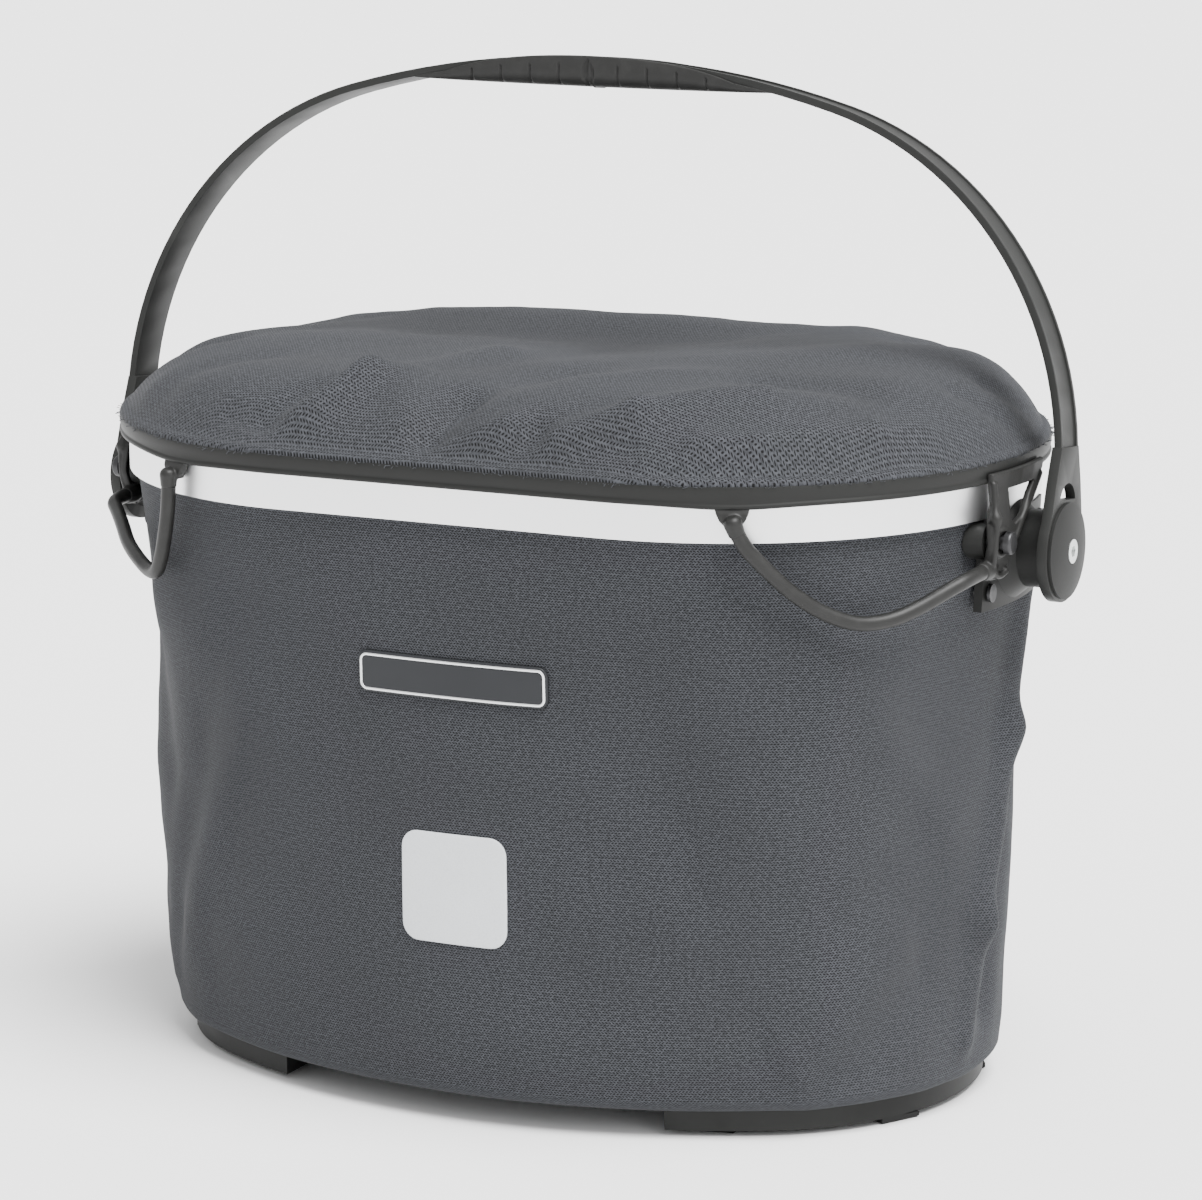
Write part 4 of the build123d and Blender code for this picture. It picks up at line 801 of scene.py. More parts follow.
CROWN_SHARE = 0.81                                         # of the frame's crown, before the lumps
CROWN_POWER = 8                                            # how steeply it rises at the edge
LID_DIVISIONS = 480
LID_TURN = 3.2 * MM                                        # radius of the turned-down edge
TURN_STEPS = 6
EDGE_DROP = 2.1 * MM                                       # the cut edge below the rim's top
CLOTH_ALLOWANCE = 0.036                                    # flat cloth over the rim's size
THREAD_RADIUS = 0.16 * MM
THREAD_SEED = 7


def crown_height(x, y, depth):
    """Height of the lid's cloth over its edge; depth is the distance in from the edge."""
    lid = settings("lid")
    share = np.clip(depth / RADIUS, 0.0, 1.0)
    height = CROWN_SHARE * CROWN * (1 - (1 - share) ** CROWN_POWER) * (1 + lid.lean * x / HALF_WIDTH)
    lumps = 0.0
    for start, end, width, lift in LID_LUMPS:
        lumps = lumps + lift * ridge(x, y, start, end, width)
    lumps += 0.9 * soft_noise(x, y, 0.060, 2.0) + 0.16 * soft_noise(x, y, 0.024, 6.0)
    lumps += 0.07 * soft_noise(x, y, 0.009, 9.0)
    return height + lid.lumps * lumps * MM * np.clip(depth / 0.007, 0.0, 1.0)


class BASKET_OT_lid_cloth(bpy.types.Operator):
    """Lid cloth: one sheet drawn over the crown, cut raw where it meets the rim"""
    bl_idname = "basket.lid_cloth"
    bl_label = "Lid cloth"

    def execute(self, context):
        lid = settings("lid")
        count = LID_DIVISIONS
        s = round_the_rim(count)
        edge_out = LID_OUT + 0.15 * MM
        ragged = 0.45 * soft_noise(s, s * 0, 0.0045, 1.0) + 0.75 * soft_noise(s, s * 0, 0.028, 4.0)
        rings = []
        for step in range(TURN_STEPS + 1):
            angle = radians(90) * step / TURN_STEPS
            flat, _ = rim_outline(s, edge_out - LID_TURN * (1 - cos(angle)))
            base = LID_TOP - EDGE_DROP + ragged * MM * (1 - step / TURN_STEPS)
            rings.append((flat, base + LID_TURN * sin(angle)))
        rise = rings[-1][1]
        inset = np.concatenate([np.linspace(0.0015, 0.030, 20), np.linspace(0.0325, 0.1205, 40)])
        for depth in inset:
            flat, _ = rim_outline(s, edge_out - LID_TURN - depth)
            height = crown_height(flat[:, 0], flat[:, 1], np.full(count, depth))
            rings.append((flat, rise + height - 1.1 * MM * min(depth / 0.01, 1.0)))
        points = [np.column_stack([flat[:, 0], flat[:, 1] + MID_Y, z]) for flat, z in rings]
        faces = ring_faces(len(points), count)
        last = (len(points) - 1) * count
        faces.append(tuple(range(last, last + count)))
        piece = mesh_object("lid_cloth", np.concatenate(points), faces, "cloth")
        self.close_crown(piece)
        layer = piece.data.uv_layers.new(name="Cloth")
        for loop in piece.data.loops:
            x, y, _ = piece.data.vertices[loop.vertex_index].co
            layer.data[loop.index].uv = (x, y)
        modified(piece, "SOLIDIFY", thickness=lid.cloth, offset=-1.0, use_rim=True)
        finished(piece, "lid", "lid_fabric", "lid_fabric")
        width, depth = 2 * HALF_WIDTH + CLOTH_ALLOWANCE, 2 * RADIUS + CLOTH_ALLOWANCE
        frayed_edge(points[0], lid)
        return {"FINISHED"}

    def close_crown(self, piece):
        """Divides the last narrow face along the crown's middle, and faces the sheet upwards."""
        work = bmesh.new()
        work.from_mesh(piece.data)
        bmesh.ops.triangulate(work, faces=[face for face in work.faces if len(face.verts) > 4])
        work.normal_update()
        if sum(face.normal.z for face in work.faces) < 0:
            bmesh.ops.reverse_faces(work, faces=work.faces)
        work.to_mesh(piece.data)
        work.free()


def thread_tree():
    """Geometry nodes: short straight yarn ends set along a line, each turned its own way."""
    tree = bpy.data.node_groups.new("frayed_threads", "GeometryNodeTree")
    face = tree.interface
    face.new_socket("Geometry", in_out="INPUT", socket_type="NodeSocketGeometry")
    for name, value in (("Gap", 0.001), ("Length", 0.002), ("Thickness", 0.0002)):
        face.new_socket(name, in_out="INPUT", socket_type="NodeSocketFloat").default_value = value
    face.new_socket("Seed", in_out="INPUT", socket_type="NodeSocketInt").default_value = 7
    face.new_socket("Finish", in_out="INPUT", socket_type="NodeSocketMaterial")
    face.new_socket("Geometry", in_out="OUTPUT", socket_type="NodeSocketGeometry")

    def node(kind, values=None, **chosen):
        """Adds a node: its settings first, then the values or links of its sockets."""
        made = tree.nodes.new(kind)
        for name, value in chosen.items():
            setattr(made, name, value)
        for key, value in (values or {}).items():
            if isinstance(value, bpy.types.NodeSocket):
                tree.links.new(value, made.inputs[key])
            else:
                made.inputs[key].default_value = value
        return made

    given = node("NodeGroupInput")
    line = node("GeometryNodeMeshToCurve", {0: given.outputs["Geometry"]})
    spaced = node("GeometryNodeResampleCurve", {"Curve": line.outputs[0], "Length": given.outputs["Gap"]},
                  mode="LENGTH")
    stem = node("GeometryNodeCurvePrimitiveLine", {"Start": (0.0, 0.0, 0.0)})
    tip = node("ShaderNodeCombineXYZ", {2: given.outputs["Length"]})
    tree.links.new(tip.outputs[0], stem.inputs["End"])
    ring = node("GeometryNodeCurvePrimitiveCircle", {"Resolution": 4, "Radius": given.outputs["Thickness"]})
    thread = node("GeometryNodeCurveToMesh",
                  {"Curve": stem.outputs[0], "Profile Curve": ring.outputs[0], "Fill Caps": True})
    turn = node("FunctionNodeRandomValue",
                {0: (0.9, -1.2, -3.1), 1: (2.3, 1.2, 3.1), "Seed": given.outputs["Seed"]},
                data_type="FLOAT_VECTOR")
    size = node("FunctionNodeRandomValue", {2: 0.35, 3: 1.15, "Seed": given.outputs["Seed"]},
                data_type="FLOAT")
    placed = node("GeometryNodeInstanceOnPoints",
                  {"Points": spaced.outputs[0], "Instance": thread.outputs[0], "Rotation": turn.outputs[0],
                   "Scale": size.outputs[1]})
    real = node("GeometryNodeRealizeInstances", {0: placed.outputs[0]})
    painted = node("GeometryNodeSetMaterial",
                   {"Geometry": real.outputs[0], "Material": given.outputs["Finish"]})
    node("NodeGroupOutput", {0: painted.outputs[0]})
    return tree


def frayed_edge(edge, lid):
    """Yarn ends along the lid cloth's cut edge."""
    count = len(edge)
    mesh = bpy.data.meshes.new("lid_threads")
    mesh.from_pydata([tuple(p) for p in edge], [(i, (i + 1) % count) for i in range(count)], [])
    piece = linked("lid_threads", mesh)
    tree = thread_tree()
    modifier = modified(piece, "NODES", node_group=tree)
    values = {"Gap": lid.thread_gap, "Length": lid.thread_length, "Thickness": THREAD_RADIUS,
              "Seed": THREAD_SEED, "Finish": FINISHES["cloth"]}
    for item in tree.interface.items_tree:
        if item.in_out == "INPUT" and item.name in values:
            modifier[item.identifier] = values[item.name]
    piece = applied(piece)
    finished(piece, "lid", "lid_fabric")


# Section of the lid's rim in millimetres: out from the band's outline, up from LID_BASE.
RIM_PROFILE = [
    (0.7, -0.1), (2.9, -0.1), (3.5, 0.2), (3.7, 0.8), (3.5, 1.5), (3.15, 1.9), (3.1, 2.3), (3.35, 2.9),
    (3.62, 4.2), (3.75, 5.8), (3.6, 7.4), (3.1, 8.6), (2.2, 9.35), (1.0, 9.6), (-3.0, 9.6), (-7.0, 9.5),
    (-9.4, 9.1), (-10.0, 8.3), (-10.1, 4.0), (-10.0, -1.1), (-9.4, -1.5), (-8.0, -1.5), (-7.4, -1.1),
    (-7.3, 3.2), (-6.6, 3.8), (-3.0, 3.8), (-0.2, 3.8), (0.55, 3.2), (0.6, 1.5),
]
BEAD_TOP = 2.6                                             # the bead is the profile below this
RIM_DIVISIONS = 420
TAB_SPREAD = 0.022                                         # how far the bead dips beside a tab
TAB_DIP, TAB_SWELL = 1.1 * MM, 0.35 * MM
# Rows of a tab's wedge in millimetres: up from LID_BASE, half width and thickness.
TAB_ROWS = ((2.5, 7.6, 2.2), (-0.4, 6.7, 2.4), (-2.8, 6.0, 3.4), (-5.4, 4.8, 3.6), (-7.4, 2.8, 3.4))
SOCKET_RADII = (2.4, 3.2, 3.55, 3.6, 3.5, 3.4, 3.3, 3.2, 3.1)
TAB_VOXEL = 0.45 * MM


class BASKET_OT_lid_rim(bpy.types.Operator):
    """Moulded lid rim: a channel with a thin bead along its lower edge"""
    bl_idname = "basket.lid_rim"
    bl_label = "Lid rim"

    def execute(self, context):
        count = RIM_DIVISIONS
        s = round_the_rim(count)
        near_tab = np.exp(-((np.abs(from_the_front(s)) - tab_distance()) / TAB_SPREAD) ** 2)
        rings = []
        for out, up in RIM_PROFILE:
            low = 1.0 if out > 0 and up < BEAD_TOP else 0.0
            flat, _ = rim_outline(s, out * MM + low * TAB_SWELL * near_tab)
            z = LID_BASE + up * MM - low * TAB_DIP * near_tab
            rings.append(np.column_stack([flat[:, 0], flat[:, 1] + MID_Y, np.broadcast_to(z, count)]))
        faces = ring_faces(len(rings), count, closed_rows=True)
        piece = face_outwards(mesh_object("lid_rim_moulding", np.concatenate(rings), faces, "trim"))
        finished(piece, "lid", "dark_plastic", "lid_rim", angle=50)
        for side, name in ((1, "right"), (-1, "left")):
            self.make_tab(side, name)
        return {"FINISHED"}

    def make_tab(self, side, name):
        """Wedge below the rim with a rounded socket that the pull cord grows out of."""
        route = RIGHT_CORD if side > 0 else LEFT_CORD
        root = Vector(row_point(route[0]))
        beyond = Vector(row_point(route[1]))
        radial = Vector((root.x - side * STRAIGHT, root.y - MID_Y, 0.0)).normalized()
        flow = radial.cross(Vector((0, 0, 1)))
        face_point = Vector((side * STRAIGHT, MID_Y, 0)) + radial * (RADIUS + 0.9 * MM)
        wedge = []
        for up, half, thick in TAB_ROWS:
            for sway in (-half, half):
                for out in (0.0, thick):
                    wedge.append(face_point + flow * sway * MM + radial * out * MM
                                 + Vector((0, 0, LID_BASE + up * MM)))
        faces = [(0, 1, 3, 2)]
        for a in range(0, len(wedge) - 4, 4):
            b = a + 4
            faces += [(a, b, b + 1, a + 1), (a + 1, b + 1, b + 3, a + 3), (a + 3, b + 3, b + 2, a + 2),
                      (a + 2, b + 2, b, a)]
        end = len(wedge) - 4
        faces.append((end, end + 2, end + 3, end + 1))
        block = face_outwards(mesh_object("tab_block", wedge, faces, "cord"))
        down = (beyond - root).normalized()
        line = [root - down * 1.6 * MM + down * 0.9 * MM * step for step in range(len(SOCKET_RADII))]
        socket = tube("tab_socket", line, [radius * MM for radius in SOCKET_RADII], "cord", 20)
        tab = melted(f"{name}_cord_tab", [block, socket], TAB_VOXEL, "cord", 4)
        finished(tab, "lid", "cord_rubber")


def tab_distance():
    """Distance round the rim from the middle of the front to a pull cord's tab."""
    x, y, _ = RIGHT_CORD[0]
    return STRAIGHT + RADIUS * np.arctan2(x * MM - STRAIGHT, -y * MM)


def row_point(point):
    """A cord's route point in the row's metres."""
    x, y, z = point
    return (x * MM, y * MM + MID_Y, z * MM)


# ---- Latches and cords ---------------------------------------------------------------------------
LATCH_RADII = ((216.9, 124.7), (231.0, 128.2), (253.4, 125.6))     # height, radius of its inner face
# The flat strap in millimetres: across from the rim's middle, and height above the ground.
LATCH_OUTLINE = [
    (-32.4, 257.0), (-32.2, 246.0), (-34.4, 242.0), (-35.6, 238.0), (-36.0, 234.0), (-36.2, 229.0),
    (-35.4, 224.5), (-33.4, 220.0), (-32.4, 216.6), (-24.2, 216.6), (-23.2, 221.0), (-22.8, 227.0),
    (-20.6, 231.5), (-15.5, 238.5), (-4.0, 246.5), (8.0, 254.0), (9.5, 257.0),
]
LATCH_WINDOW = [(-23.4, 251.2), (0.2, 251.2), (-6.6, 246.2), (-14.6, 238.8), (-20.8, 236.2), (-23.4, 238.6)]
LATCH_HOLE = 3.2
LATCH_THICK = 2.6
LATCH_EDGE = 0.5                                           # rounding of the strap's edges
LATCH_VOXEL = 0.42 * MM
# Raised bead along the strap: across, height and out, in millimetres.
LATCH_BEAD = [
    (-32.0, 254.0, 2.2), (-32.6, 247.0, 2.6), (-34.4, 242.0, 3.2), (-34.2, 238.0, 3.4),
    (-34.9, 234.0, 3.0), (-35.0, 228.0, 3.0), (-34.2, 222.0, 3.1), (-31.8, 218.4, 3.3),
    (-27.5, 217.4, 3.4), (-24.4, 219.4, 3.2),
]
BEAD_RADIUS = 1.45                                         # millimetres, as the next ones
BEAD_KNUCKLE, KNUCKLE_Z, KNUCKLE_SPREAD = 1.3, 0.2405, 0.0024    # swelling; the last two in metres
RING_MIDDLE, RING_RADIUS, RING_OUT = 4.7, 1.15, 2.5        # raised ring round the stud's hole
FOOT_RINGS = 9                                             # of the socket that the cord ends in
ROD_ROUTE = ((-21.5, 231.5), (-16.0, 237.0), (-6.0, 244.4), (6.0, 252.5))
ROD_RADIUS, ROD_OUT = 1.5, 1.9                             # rib along the window's sloping side


def latch_radius(z):
    """Radius of the strap's inner face at a height, in millimetres."""
    heights, radii = zip(*LATCH_RADII)
    return float(np.interp(z, heights, radii))


def on_latch(side, y, z, out):
    """Row point on the latch's curved face: across, up and out, in millimetres."""
    radius = latch_radius(z) + out
    x = STRAIGHT / MM + sqrt(radius**2 - y**2)
    return Vector((side * x * MM, y * MM + MID_Y, z * MM))


def flat_latch(side):
    """The latch's strap as a flat curve with a window and a hole, then bent round the rim."""
    curve = bpy.data.curves.new("latch_shape", "CURVE")
    curve.dimensions = "2D"
    curve.fill_mode = "BOTH"
    curve.extrude = LATCH_THICK / 2 - LATCH_EDGE
    curve.bevel_depth = LATCH_EDGE
    curve.bevel_resolution = 1
    ring = [(STUD_Y / MM + LATCH_HOLE * cos(a), STUD_Z / MM + LATCH_HOLE * sin(a))
            for a in np.linspace(0, 2 * pi, 24, endpoint=False)]
    for outline in (LATCH_OUTLINE, LATCH_WINDOW, ring):
        dense = divided(outline, 0.8)
        spline = curve.splines.new("POLY")
        spline.points.add(len(dense) - 1)
        for target, (y, z) in zip(spline.points, dense):
            target.co = (y, z, 0.0, 1.0)
        spline.use_cyclic_u = True
    holder = linked("latch_shape", curve)
    mesh = evaluated_mesh(holder)
    bpy.data.objects.remove(holder)
    work = bmesh.new()
    work.from_mesh(mesh)
    bmesh.ops.remove_doubles(work, verts=work.verts, dist=1e-4)
    bmesh.ops.subdivide_edges(
        work, edges=[edge for edge in work.edges if edge.calc_length() > 4.0], cuts=3, use_grid_fill=True)
    for vertex in work.verts:
        y, z, out = vertex.co
        vertex.co = on_latch(side, y, z, out + LATCH_THICK / 2)
    bmesh.ops.recalc_face_normals(work, faces=work.faces)
    work.to_mesh(mesh)
    work.free()
    return linked("latch_shape", mesh)


def divided(outline, longest):
    """The outline's points, with more on its long sides."""
    dense = []
    for (y0, z0), (y1, z1) in zip(outline, outline[1:] + outline[:1]):
        steps = max(1, ceil(hypot(y1 - y0, z1 - z0) / longest))
        dense += [(y0 + (y1 - y0) * i / steps, z0 + (z1 - z0) * i / steps) for i in range(steps)]
    return dense


class BASKET_OT_latches(bpy.types.Operator):
    """Rubber latches: a bent strap with a bead, a stud ring, a window and a foot lip"""
    bl_idname = "basket.latches"
    bl_label = "Latches"

    def execute(self, context):
        for side, name in ((1, "right"), (-1, "left")):
            strap = flat_latch(side)
            route = curve_line([on_latch(side, y, z, out) for y, z, out in LATCH_BEAD])
            swell = [(BEAD_RADIUS + BEAD_KNUCKLE * np.exp(-((point.z - KNUCKLE_Z) / KNUCKLE_SPREAD) ** 2))
                     * MM for point in route]
            bead = tube("bead", route, swell, "latch", 14)
            ring_line = [on_latch(side, STUD_Y / MM + RING_MIDDLE * cos(a),
                                  STUD_Z / MM + RING_MIDDLE * sin(a), RING_OUT)
                         for a in np.linspace(0, 2 * pi, 29)]
            ring = tube("ring", ring_line, [RING_RADIUS * MM] * len(ring_line), "latch", 12)
            rod_line = curve_line([on_latch(side, y, z, ROD_OUT) for y, z in ROD_ROUTE])
            rod = tube("rod", rod_line, [ROD_RADIUS * MM] * len(rod_line), "latch", 12)
            end = Vector(row_point((RIGHT_CORD if side > 0 else LEFT_CORD)[-1]))
            line = [end + Vector((0, (step * 1.1 - 1.0) * MM, 0)) for step in range(FOOT_RINGS)]
            radii = [CORD_RADIUS + sin(pi * min(step + 1, 8) / 10) * MM for step in range(FOOT_RINGS)]
            socket = tube("socket", line, radii, "latch", 20)
            latch = melted(f"{name}_latch_strap", [strap, bead, ring, rod, socket], LATCH_VOXEL, "latch", 3)
            finished(latch, f"latch_{name}", "latch_rubber", f"{name}_latch")
        return {"FINISHED"}


class BASKET_OT_cords(bpy.types.Operator):
    """Rubber pull cords from the lid's tabs to the latches' feet"""
    bl_idname = "basket.cords"
    bl_label = "Pull cords"

    def execute(self, context):
        for name, points in (("right", RIGHT_CORD), ("left", LEFT_CORD)):
            line = curve_line([row_point(point) for point in points])
            piece = tube(f"{name}_cord", line, [CORD_RADIUS] * len(line), "cord", 28)
            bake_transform(piece)
            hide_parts(f"{name}_pull_cord")
        return {"FINISHED"}


# ---- Handle --------------------------------------------------------------------------------------
HANDLE_LEAN = radians(6.5)
HANDLE_RISE = 181.0 * MM                                   # top of the arch over the pivot
HANDLE_TOP_RADIUS = 390.0 * MM
STRAP_THICKNESS = 3.0 * MM
STRAP_HALF = 9.0 * MM                                      # half of the strap's width
STRAP_ROUNDING = 0.45 * MM
GRIP_HALF = 78.0 * MM                                      # half of the grip's length
GRIP_LOW = HANDLE_RISE - STRAP_THICKNESS - 7.8 * MM
GRIP_COLUMNS = 480
GRIP_END_HALF, GRIP_WIDENS = 9.1 * MM, 0.9 * MM            # half width at its ends, and the rest
GRIP_BELLY = 0.9 * MM
GRIP_WRAP = 3.0 * MM                                       # height of its lips beside the strap
GRIP_CORNER = 5.6 * MM
GRIP_LIP = 0.5 * MM
SIDE_STEPS, CORNER_STEPS, FLAT_STEPS = 8, 6, 6
GROOVE_PITCH = 13.0 * MM
GROOVE_DEPTH, GROOVE_HALF = 0.85 * MM, 0.55 * MM
MARK_HALF, MARK_DEPTH = 3.1 * MM, 1.05 * MM                # pointed mark at the grip's middle


def leaned(x, y, rise):
    """A point of the upright handle, turned to its standing lean; rise is above the pivot."""
    return (x, MID_Y + y * cos(HANDLE_LEAN) + rise * sin(HANDLE_LEAN),
            PIVOT_Z + rise * cos(HANDLE_LEAN) - y * sin(HANDLE_LEAN))


def arch_rise(x, inset):
    """Rise of the arch over the pivot, inset below its outer face."""
    radius = HANDLE_TOP_RADIUS - inset
    return HANDLE_RISE - HANDLE_TOP_RADIUS + sqrt(radius**2 - x**2)


class BASKET_OT_handle(bpy.types.Operator):
    """Handle strap with softened edges, and the moulded grip under its middle"""
    bl_idname = "basket.handle"
    bl_label = "Handle"

    def execute(self, context):
        strap = copy_of_node("handle_strap", "handle_arch", "handle", STRAP_ROUNDING)
        finished(strap, "handle", "handle_aluminium", "handle_arch", angle=32)
        self.make_grip()
        return {"FINISHED"}

    def make_grip(self):
        """A rounded block, flat below, that wraps the strap's edges and has narrow grooves."""
        rows = []
        for column in range(GRIP_COLUMNS + 1):
            x = -GRIP_HALF + 2 * GRIP_HALF * column / GRIP_COLUMNS
            share = abs(x) / GRIP_HALF
            top = arch_rise(x, STRAP_THICKNESS)
            swell = (1 - share**2) ** 0.5 if share < 1 else 0.0
            low = top - max(top - GRIP_LOW, 0.0) - GRIP_BELLY * swell - 0.3 * MM
            wrap = GRIP_WRAP * max(0.0, 1 - (share / 0.82) ** 4)
            half = GRIP_END_HALF + GRIP_WIDENS * min(1.0, (1 - share) / 0.12)
            rows.append([leaned(x, y, rise) for y, rise in self.section(x, top, low, wrap, half)])
        across = len(rows[0])
        points = [point for row in rows for point in row]
        faces = ring_faces(len(rows), across)
        faces.append(tuple(range(across)))
        last = (len(rows) - 1) * across
        faces.append(tuple(range(last, last + across))[::-1])
        piece = face_outwards(mesh_object("grip_moulding", points, faces, "grip"))
        finished(piece, "handle", "grip_rubber", "handle_grip")

    def section(self, x, top, low, wrap, half):
        """One closed section: up the front, over the edge, back under the strap."""
        depth = top - low
        corner = max(min(GRIP_CORNER, 0.55 * (depth + wrap)), 0.1 * MM)
        outline = []
        side_top = top + wrap
        for step in range(SIDE_STEPS + 1):
            outline.append((-half, side_top - (side_top - low - corner) * step / SIDE_STEPS))
        for step in range(1, CORNER_STEPS + 1):
            angle = radians(90) * step / CORNER_STEPS
            outline.append((-half + corner * (1 - cos(angle)), low + corner * (1 - sin(angle))))
        mirrored = [(-y, rise) for y, rise in reversed(outline)]
        for step in range(1, FLAT_STEPS):
            outline.append((-half + corner + (2 * half - 2 * corner) * step / FLAT_STEPS, low))
        outline += mirrored
        carved = []
        for y, rise in outline:
            dent = self.dent(x, rise, side_top, low)
            inward = 1 - min(1.0, (half - abs(y)) / corner)
            y = y - np.sign(y) * dent * inward
            rise = rise + dent * (1 - inward)
            carved.append((y, rise))
        by_strap, under_strap = STRAP_HALF + 0.05 * MM, STRAP_HALF + 0.02 * MM
        seat = [(half - GRIP_LIP, side_top + 0.25 * MM), (by_strap, side_top - 0.1 * MM), (under_strap, top)]
        carved += seat + [(0.0, top - 0.02 * MM)] + [(-y, rise) for y, rise in reversed(seat)]
        return carved

    def dent(self, x, rise, side_top, low):
        """Depth of the grooves and of the pointed centre mark."""
        level = (side_top - rise) / max(side_top - low, 1e-6)
        dent = 0.0
        step = round(x / GROOVE_PITCH)
        gap = abs(x - step * GROOVE_PITCH)
        if 1 <= abs(step) <= 4:
            dent = GROOVE_DEPTH * np.exp(-(gap / GROOVE_HALF) ** 4) * np.clip((level - 0.22) / 0.10, 0, 1)
        if step == 0:
            leaf = MARK_HALF * max(0.0, 1 - ((level - 0.58) / 0.50) ** 2)
            if gap < leaf:
                dent = MARK_DEPTH * min(1.0, (leaf - gap) / (0.7 * MM))
            dent -= 0.60 * MM * np.exp(-((x - 0.5 * MM) / (0.7 * MM)) ** 2) * (leaf > 0.8 * MM)
        return float(dent)


# ---- Plate and reflector -------------------------------------------------------------------------
PLATE_CORNER = 4.0
REFLECTOR_CORNER = 7.0
# Layers from the cloth outwards, as (inset, outset); all of these are in millimetres.
PLATE_LAYERS = [(0, 0.05), (0, 0.9), (0.4, 1.3), (0.9, 1.4), (2.0, 1.4)]
BORDER_LAYERS = [(0.9, 1.30), (1.0, 1.60), (1.9, 1.60), (2.0, 1.30)]
REFLECTOR_LAYERS = [(0, 0.0), (0, 0.45), (0.25, 0.65), (0.8, 0.75)]
PATCH_RINGS = 9                                            # rings that fill a patch's face


def rounded_outline(half_x, half_z, corner, steps=8):
    """Corner points of a rounded rectangle round the origin."""
    points = []
    for turn, (cx, cz) in enumerate(((1, 1), (-1, 1), (-1, -1), (1, -1))):
        for step in range(steps + 1):
            angle = radians(90) * (turn + step / steps)
            points.append((cx * (half_x - corner) + corner * cos(angle),
                           cz * (half_z - corner) + corner * sin(angle)))
    return points


def patch_outline(half_x, half_z, corner):
    """A rounded outline with even steps, the same number for any small inset."""
    points = rounded_outline(half_x, half_z, corner)
    dense = []
    for (x0, z0), (x1, z1) in zip(points, points[1:] + points[:1]):
        parts = 24 if hypot(x1 - x0, z1 - z0) > 2 * corner else 1
        dense += [(x0 + (x1 - x0) * i / parts, z0 + (z1 - z0) * i / parts) for i in range(parts)]
    return dense


def on_front(centre, outline, outset, share=1.0):
    """Cloth points for an outline drawn flat round a centre, where the wall widens downwards."""
    x = np.array([centre[0] + across * share for across, _ in outline])
    z = np.array([centre[1] + up * share for _, up in outline])
    fall = (BAND_Z - z) / (BAND_Z - BAG_FLOOR)
    widening = BASE_SIDE * BASE_TURN / STRAIGHT
    return list(wall_point(x / (1 + (widening - 1) * fall), z, outset))


def wall_patch(name, centre, half_x, half_z, corner, layers, finish):
    """A thin rounded patch that lies on the bag's front; layers are (inset, outset) in millimetres."""
    points = []
    for inset, outset in layers:
        inset = inset * MM
        outline = patch_outline(half_x - inset, half_z - inset, max(corner - inset, 0.5 * MM))
        points += on_front(centre, outline, outset * MM)
    for ring in range(1, PATCH_RINGS + 1):
        points += on_front(centre, outline, outset * MM, 1 - ring / (PATCH_RINGS + 1))
    points += on_front(centre, [(0.0, 0.0)], outset * MM)
    count = len(outline)
    faces = ring_faces(len(layers) + PATCH_RINGS, count)
    inner = (len(layers) + PATCH_RINGS - 1) * count
    faces += [(inner + i, inner + (i + 1) % count, len(points) - 1) for i in range(count)]
    faces.append(tuple(range(count))[::-1])
    return face_outwards(mesh_object(name, points, faces, finish))


class BASKET_OT_front_patches(bpy.types.Operator):
    """Blank nameplate with a metal border, and the plain reflector below it"""
    bl_idname = "basket.front_patches"
    bl_label = "Plate and reflector"

    def execute(self, context):
        centre, half = self.place_of("nameplate")
        plate = wall_patch("plate_body", centre, *half, PLATE_CORNER * MM, PLATE_LAYERS, "plate")
        finished(plate, "basket", "nameplate", "nameplate")
        border = self.make_border(centre, half)
        finished(border, "basket", "nameplate")
        centre, half = self.place_of("reflector")
        film = wall_patch("reflector_film", centre, *half, REFLECTOR_CORNER * MM, REFLECTOR_LAYERS, "film")
        finished(film, "basket", "reflector", "reflector")
        return {"FINISHED"}

    def place_of(self, node):
        """Middle and half size of a flat node on the front, across and up."""
        low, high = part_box(node)
        return (((low.x + high.x) / 2, (low.z + high.z) / 2), ((high.x - low.x) / 2, (high.z - low.z) / 2))

    def make_border(self, centre, half):
        """A thin raised line set in from the plate's edge."""
        points = []
        for inset, outset in BORDER_LAYERS:
            outline = patch_outline(half[0] - inset * MM, half[1] - inset * MM, (PLATE_CORNER - inset) * MM)
            points += on_front(centre, outline, outset * MM)
        faces = ring_faces(len(BORDER_LAYERS), len(outline), closed_rows=True)
        return face_outwards(mesh_object("plate_border_line", points, faces, "border"))


# ---- Parts kept from the frame -------------------------------------------------------------------
class BASKET_OT_hardware(bpy.types.Operator):
    """Finishes for the parts that keep the frame's own shape"""
    bl_idname = "basket.hardware"
    bl_label = "Hardware"

    def execute(self, context):
        for name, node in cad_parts.items():
            plain = name.removeprefix("right_").removeprefix("left_")
            if plain not in CAD_FINISHES:
                continue
            if not node.material_slots:
                node.data.materials.append(None)
            for place in node.material_slots:
                place.material = FINISHES[CAD_FINISHES[plain]]
        return {"FINISHED"}


# ---- Stage ---------------------------------------------------------------------------------------
FLOOR_HALF = 40.0
OVERHEAD_FROM = (0.42, -0.16, 1.0)
OVERHEAD_SPREAD = radians(38)
GLOW_POWER, GLOW_SIZE, GLOW_PLACE = 12.0, 1.4, (1.9, -1.1, 1.0)
GLOW_TARGET = (0, 0, 0.18)
LENS, SENSOR = 146.53, 36.0                                # millimetres
SHIFT = (-0.0046, -0.0154)
CAMERA_PLACE = (0.86921, -1.73812, 0.59684)
CAMERA_FORWARD = (-0.43483, 0.87706, -0.20413)
CAMERA_ROLL = radians(-0.39)


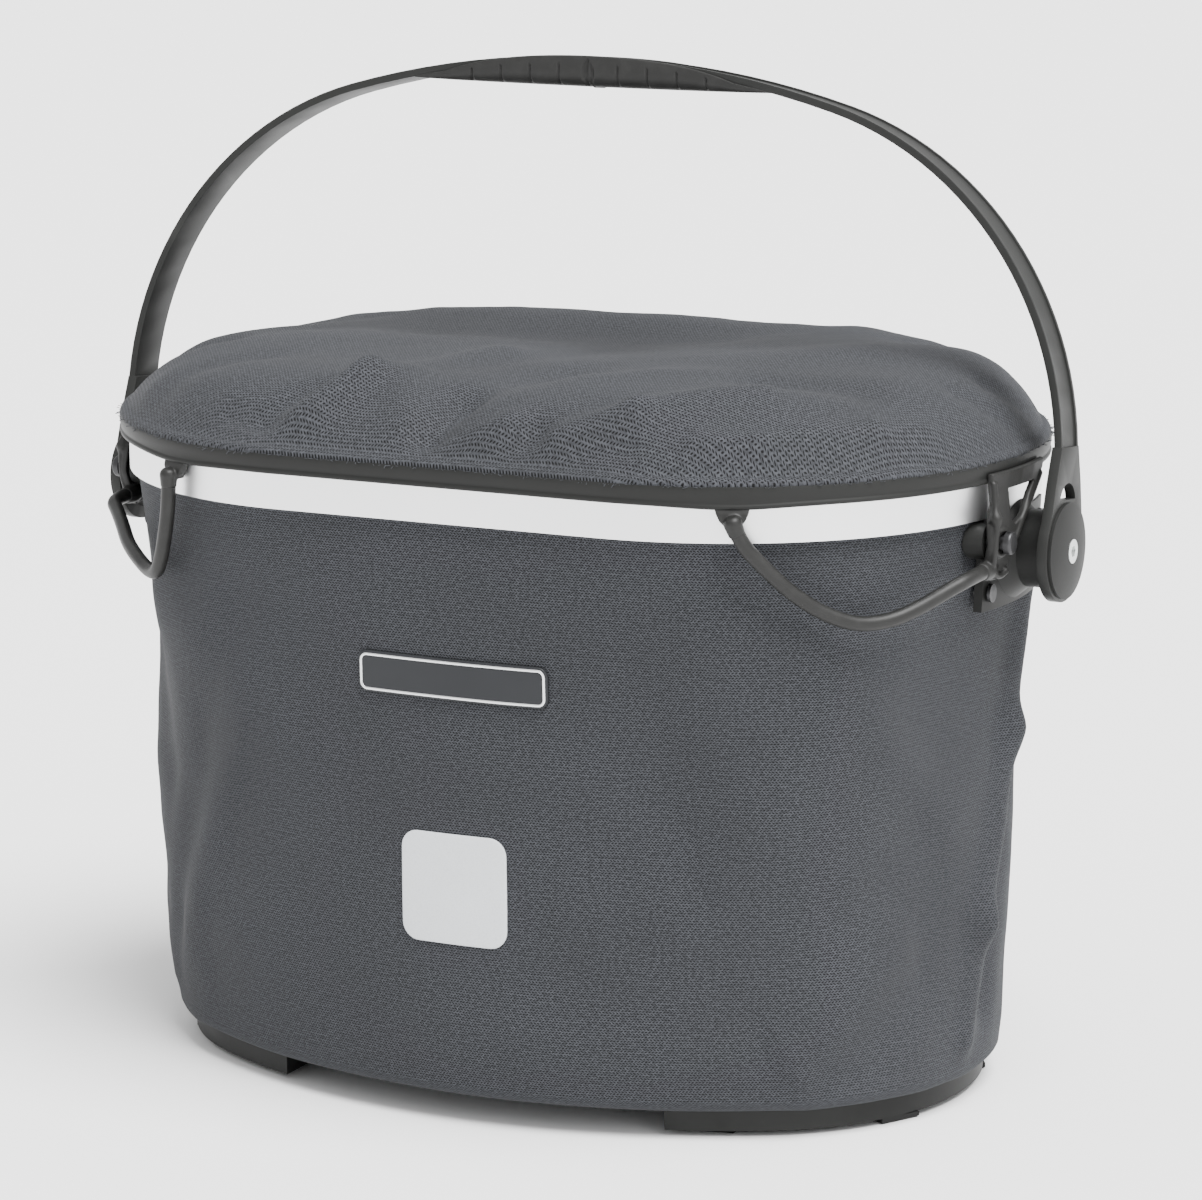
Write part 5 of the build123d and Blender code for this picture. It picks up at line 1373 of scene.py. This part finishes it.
class BASKET_OT_stage(bpy.types.Operator):
    """Pale floor, soft white light and the camera"""
    bl_idname = "basket.stage"
    bl_label = "Stage"

    def execute(self, context):
        stage = settings("stage")
        floor = self.make_floor(stage)
        world = bpy.data.worlds.new("studio")
        world.use_nodes = True
        background = world.node_tree.nodes["Background"]
        background.inputs[0].default_value = (1.0, 1.0, 1.0, 1.0)
        background.inputs[1].default_value = stage.sky
        context.scene.world = world
        self.add_overhead(stage.overhead)
        self.add_glow()
        self.add_camera(context)
        return {"FINISHED"}

    def make_floor(self, stage):
        half = FLOOR_HALF
        mesh = bpy.data.meshes.new("floor")
        mesh.from_pydata([(-half, -half, 0), (half, -half, 0), (half, half, 0), (-half, half, 0)], [],
                         [(0, 1, 2, 3)])
        finish = Finish("pale_floor", Roughness=0.7)
        grain = finish.noise(finish.place(), 900.0, 2.0)
        finish.feed("Base Color", finish.mix(grain, shade(stage.floor, 0.985), stage.floor))
        mesh.materials.append(finish.material)
        return linked("floor", mesh)

    def add_overhead(self, strength):
        """A broad light from above, as from a large soft box."""
        light = bpy.data.lights.new("overhead", "SUN")
        light.energy = strength
        light.angle = OVERHEAD_SPREAD
        holder = linked("overhead", light)
        holder.rotation_euler = Vector(OVERHEAD_FROM).to_track_quat("Z", "Y").to_euler()

    def add_glow(self):
        """A weak light at the side, for soft lines of gloss on the handle and cap."""
        light = bpy.data.lights.new("side_glow", "AREA")
        light.energy = GLOW_POWER
        light.size = GLOW_SIZE
        holder = linked("side_glow", light)
        holder.location = GLOW_PLACE
        towards = Vector(GLOW_TARGET) - Vector(GLOW_PLACE)
        holder.rotation_euler = towards.to_track_quat("-Z", "Y").to_euler()

    def add_camera(self, context):
        data = bpy.data.cameras.new("camera")
        data.lens = LENS
        data.sensor_width = SENSOR
        data.shift_x, data.shift_y = SHIFT
        camera = linked("camera", data)
        camera.location = CAMERA_PLACE
        forward = Vector(CAMERA_FORWARD).normalized()
        level = forward.to_track_quat("-Z", "Y").to_matrix()
        camera.rotation_euler = (level @ Matrix.Rotation(CAMERA_ROLL, 3, "Z")).to_euler()
        context.scene.camera = camera


class BASKET_PT_panel(bpy.types.Panel):
    """Builds the basket piece by piece"""
    bl_idname = "BASKET_PT_panel"
    bl_label = "Handlebar basket"
    bl_space_type = "VIEW_3D"
    bl_region_type = "UI"
    bl_category = "Basket"

    def draw(self, context):
        for group in SETTINGS:
            box = self.layout.box()
            for name in group.__annotations__:
                box.prop(settings(SETTINGS[group]), name)
        for operator in OPERATORS:
            self.layout.operator(operator.bl_idname)


SETTINGS = {BagSettings: "bag", LidSettings: "lid", TrimSettings: "trim", StageSettings: "stage"}
OPERATORS = [
    BASKET_OT_hardware, BASKET_OT_bag, BASKET_OT_lid_rim, BASKET_OT_lid_cloth, BASKET_OT_handle,
    BASKET_OT_latches, BASKET_OT_cords, BASKET_OT_front_patches, BASKET_OT_stage,
]


def register():
    for group, name in SETTINGS.items():
        bpy.utils.register_class(group)
        setattr(bpy.types.Scene, "basket_" + name, PointerProperty(type=group))
    for operator in OPERATORS:
        bpy.utils.register_class(operator)
    bpy.utils.register_class(BASKET_PT_panel)


def unregister():
    bpy.utils.unregister_class(BASKET_PT_panel)
    for operator in reversed(OPERATORS):
        bpy.utils.unregister_class(operator)
    for group, name in SETTINGS.items():
        delattr(bpy.types.Scene, "basket_" + name)
        bpy.utils.unregister_class(group)


def main():
    register()
    make_finishes()
    for operator in OPERATORS:
        group, name = operator.bl_idname.split(".")
        getattr(getattr(bpy.ops, group), name)()


if __name__ == "__main__":
    main()
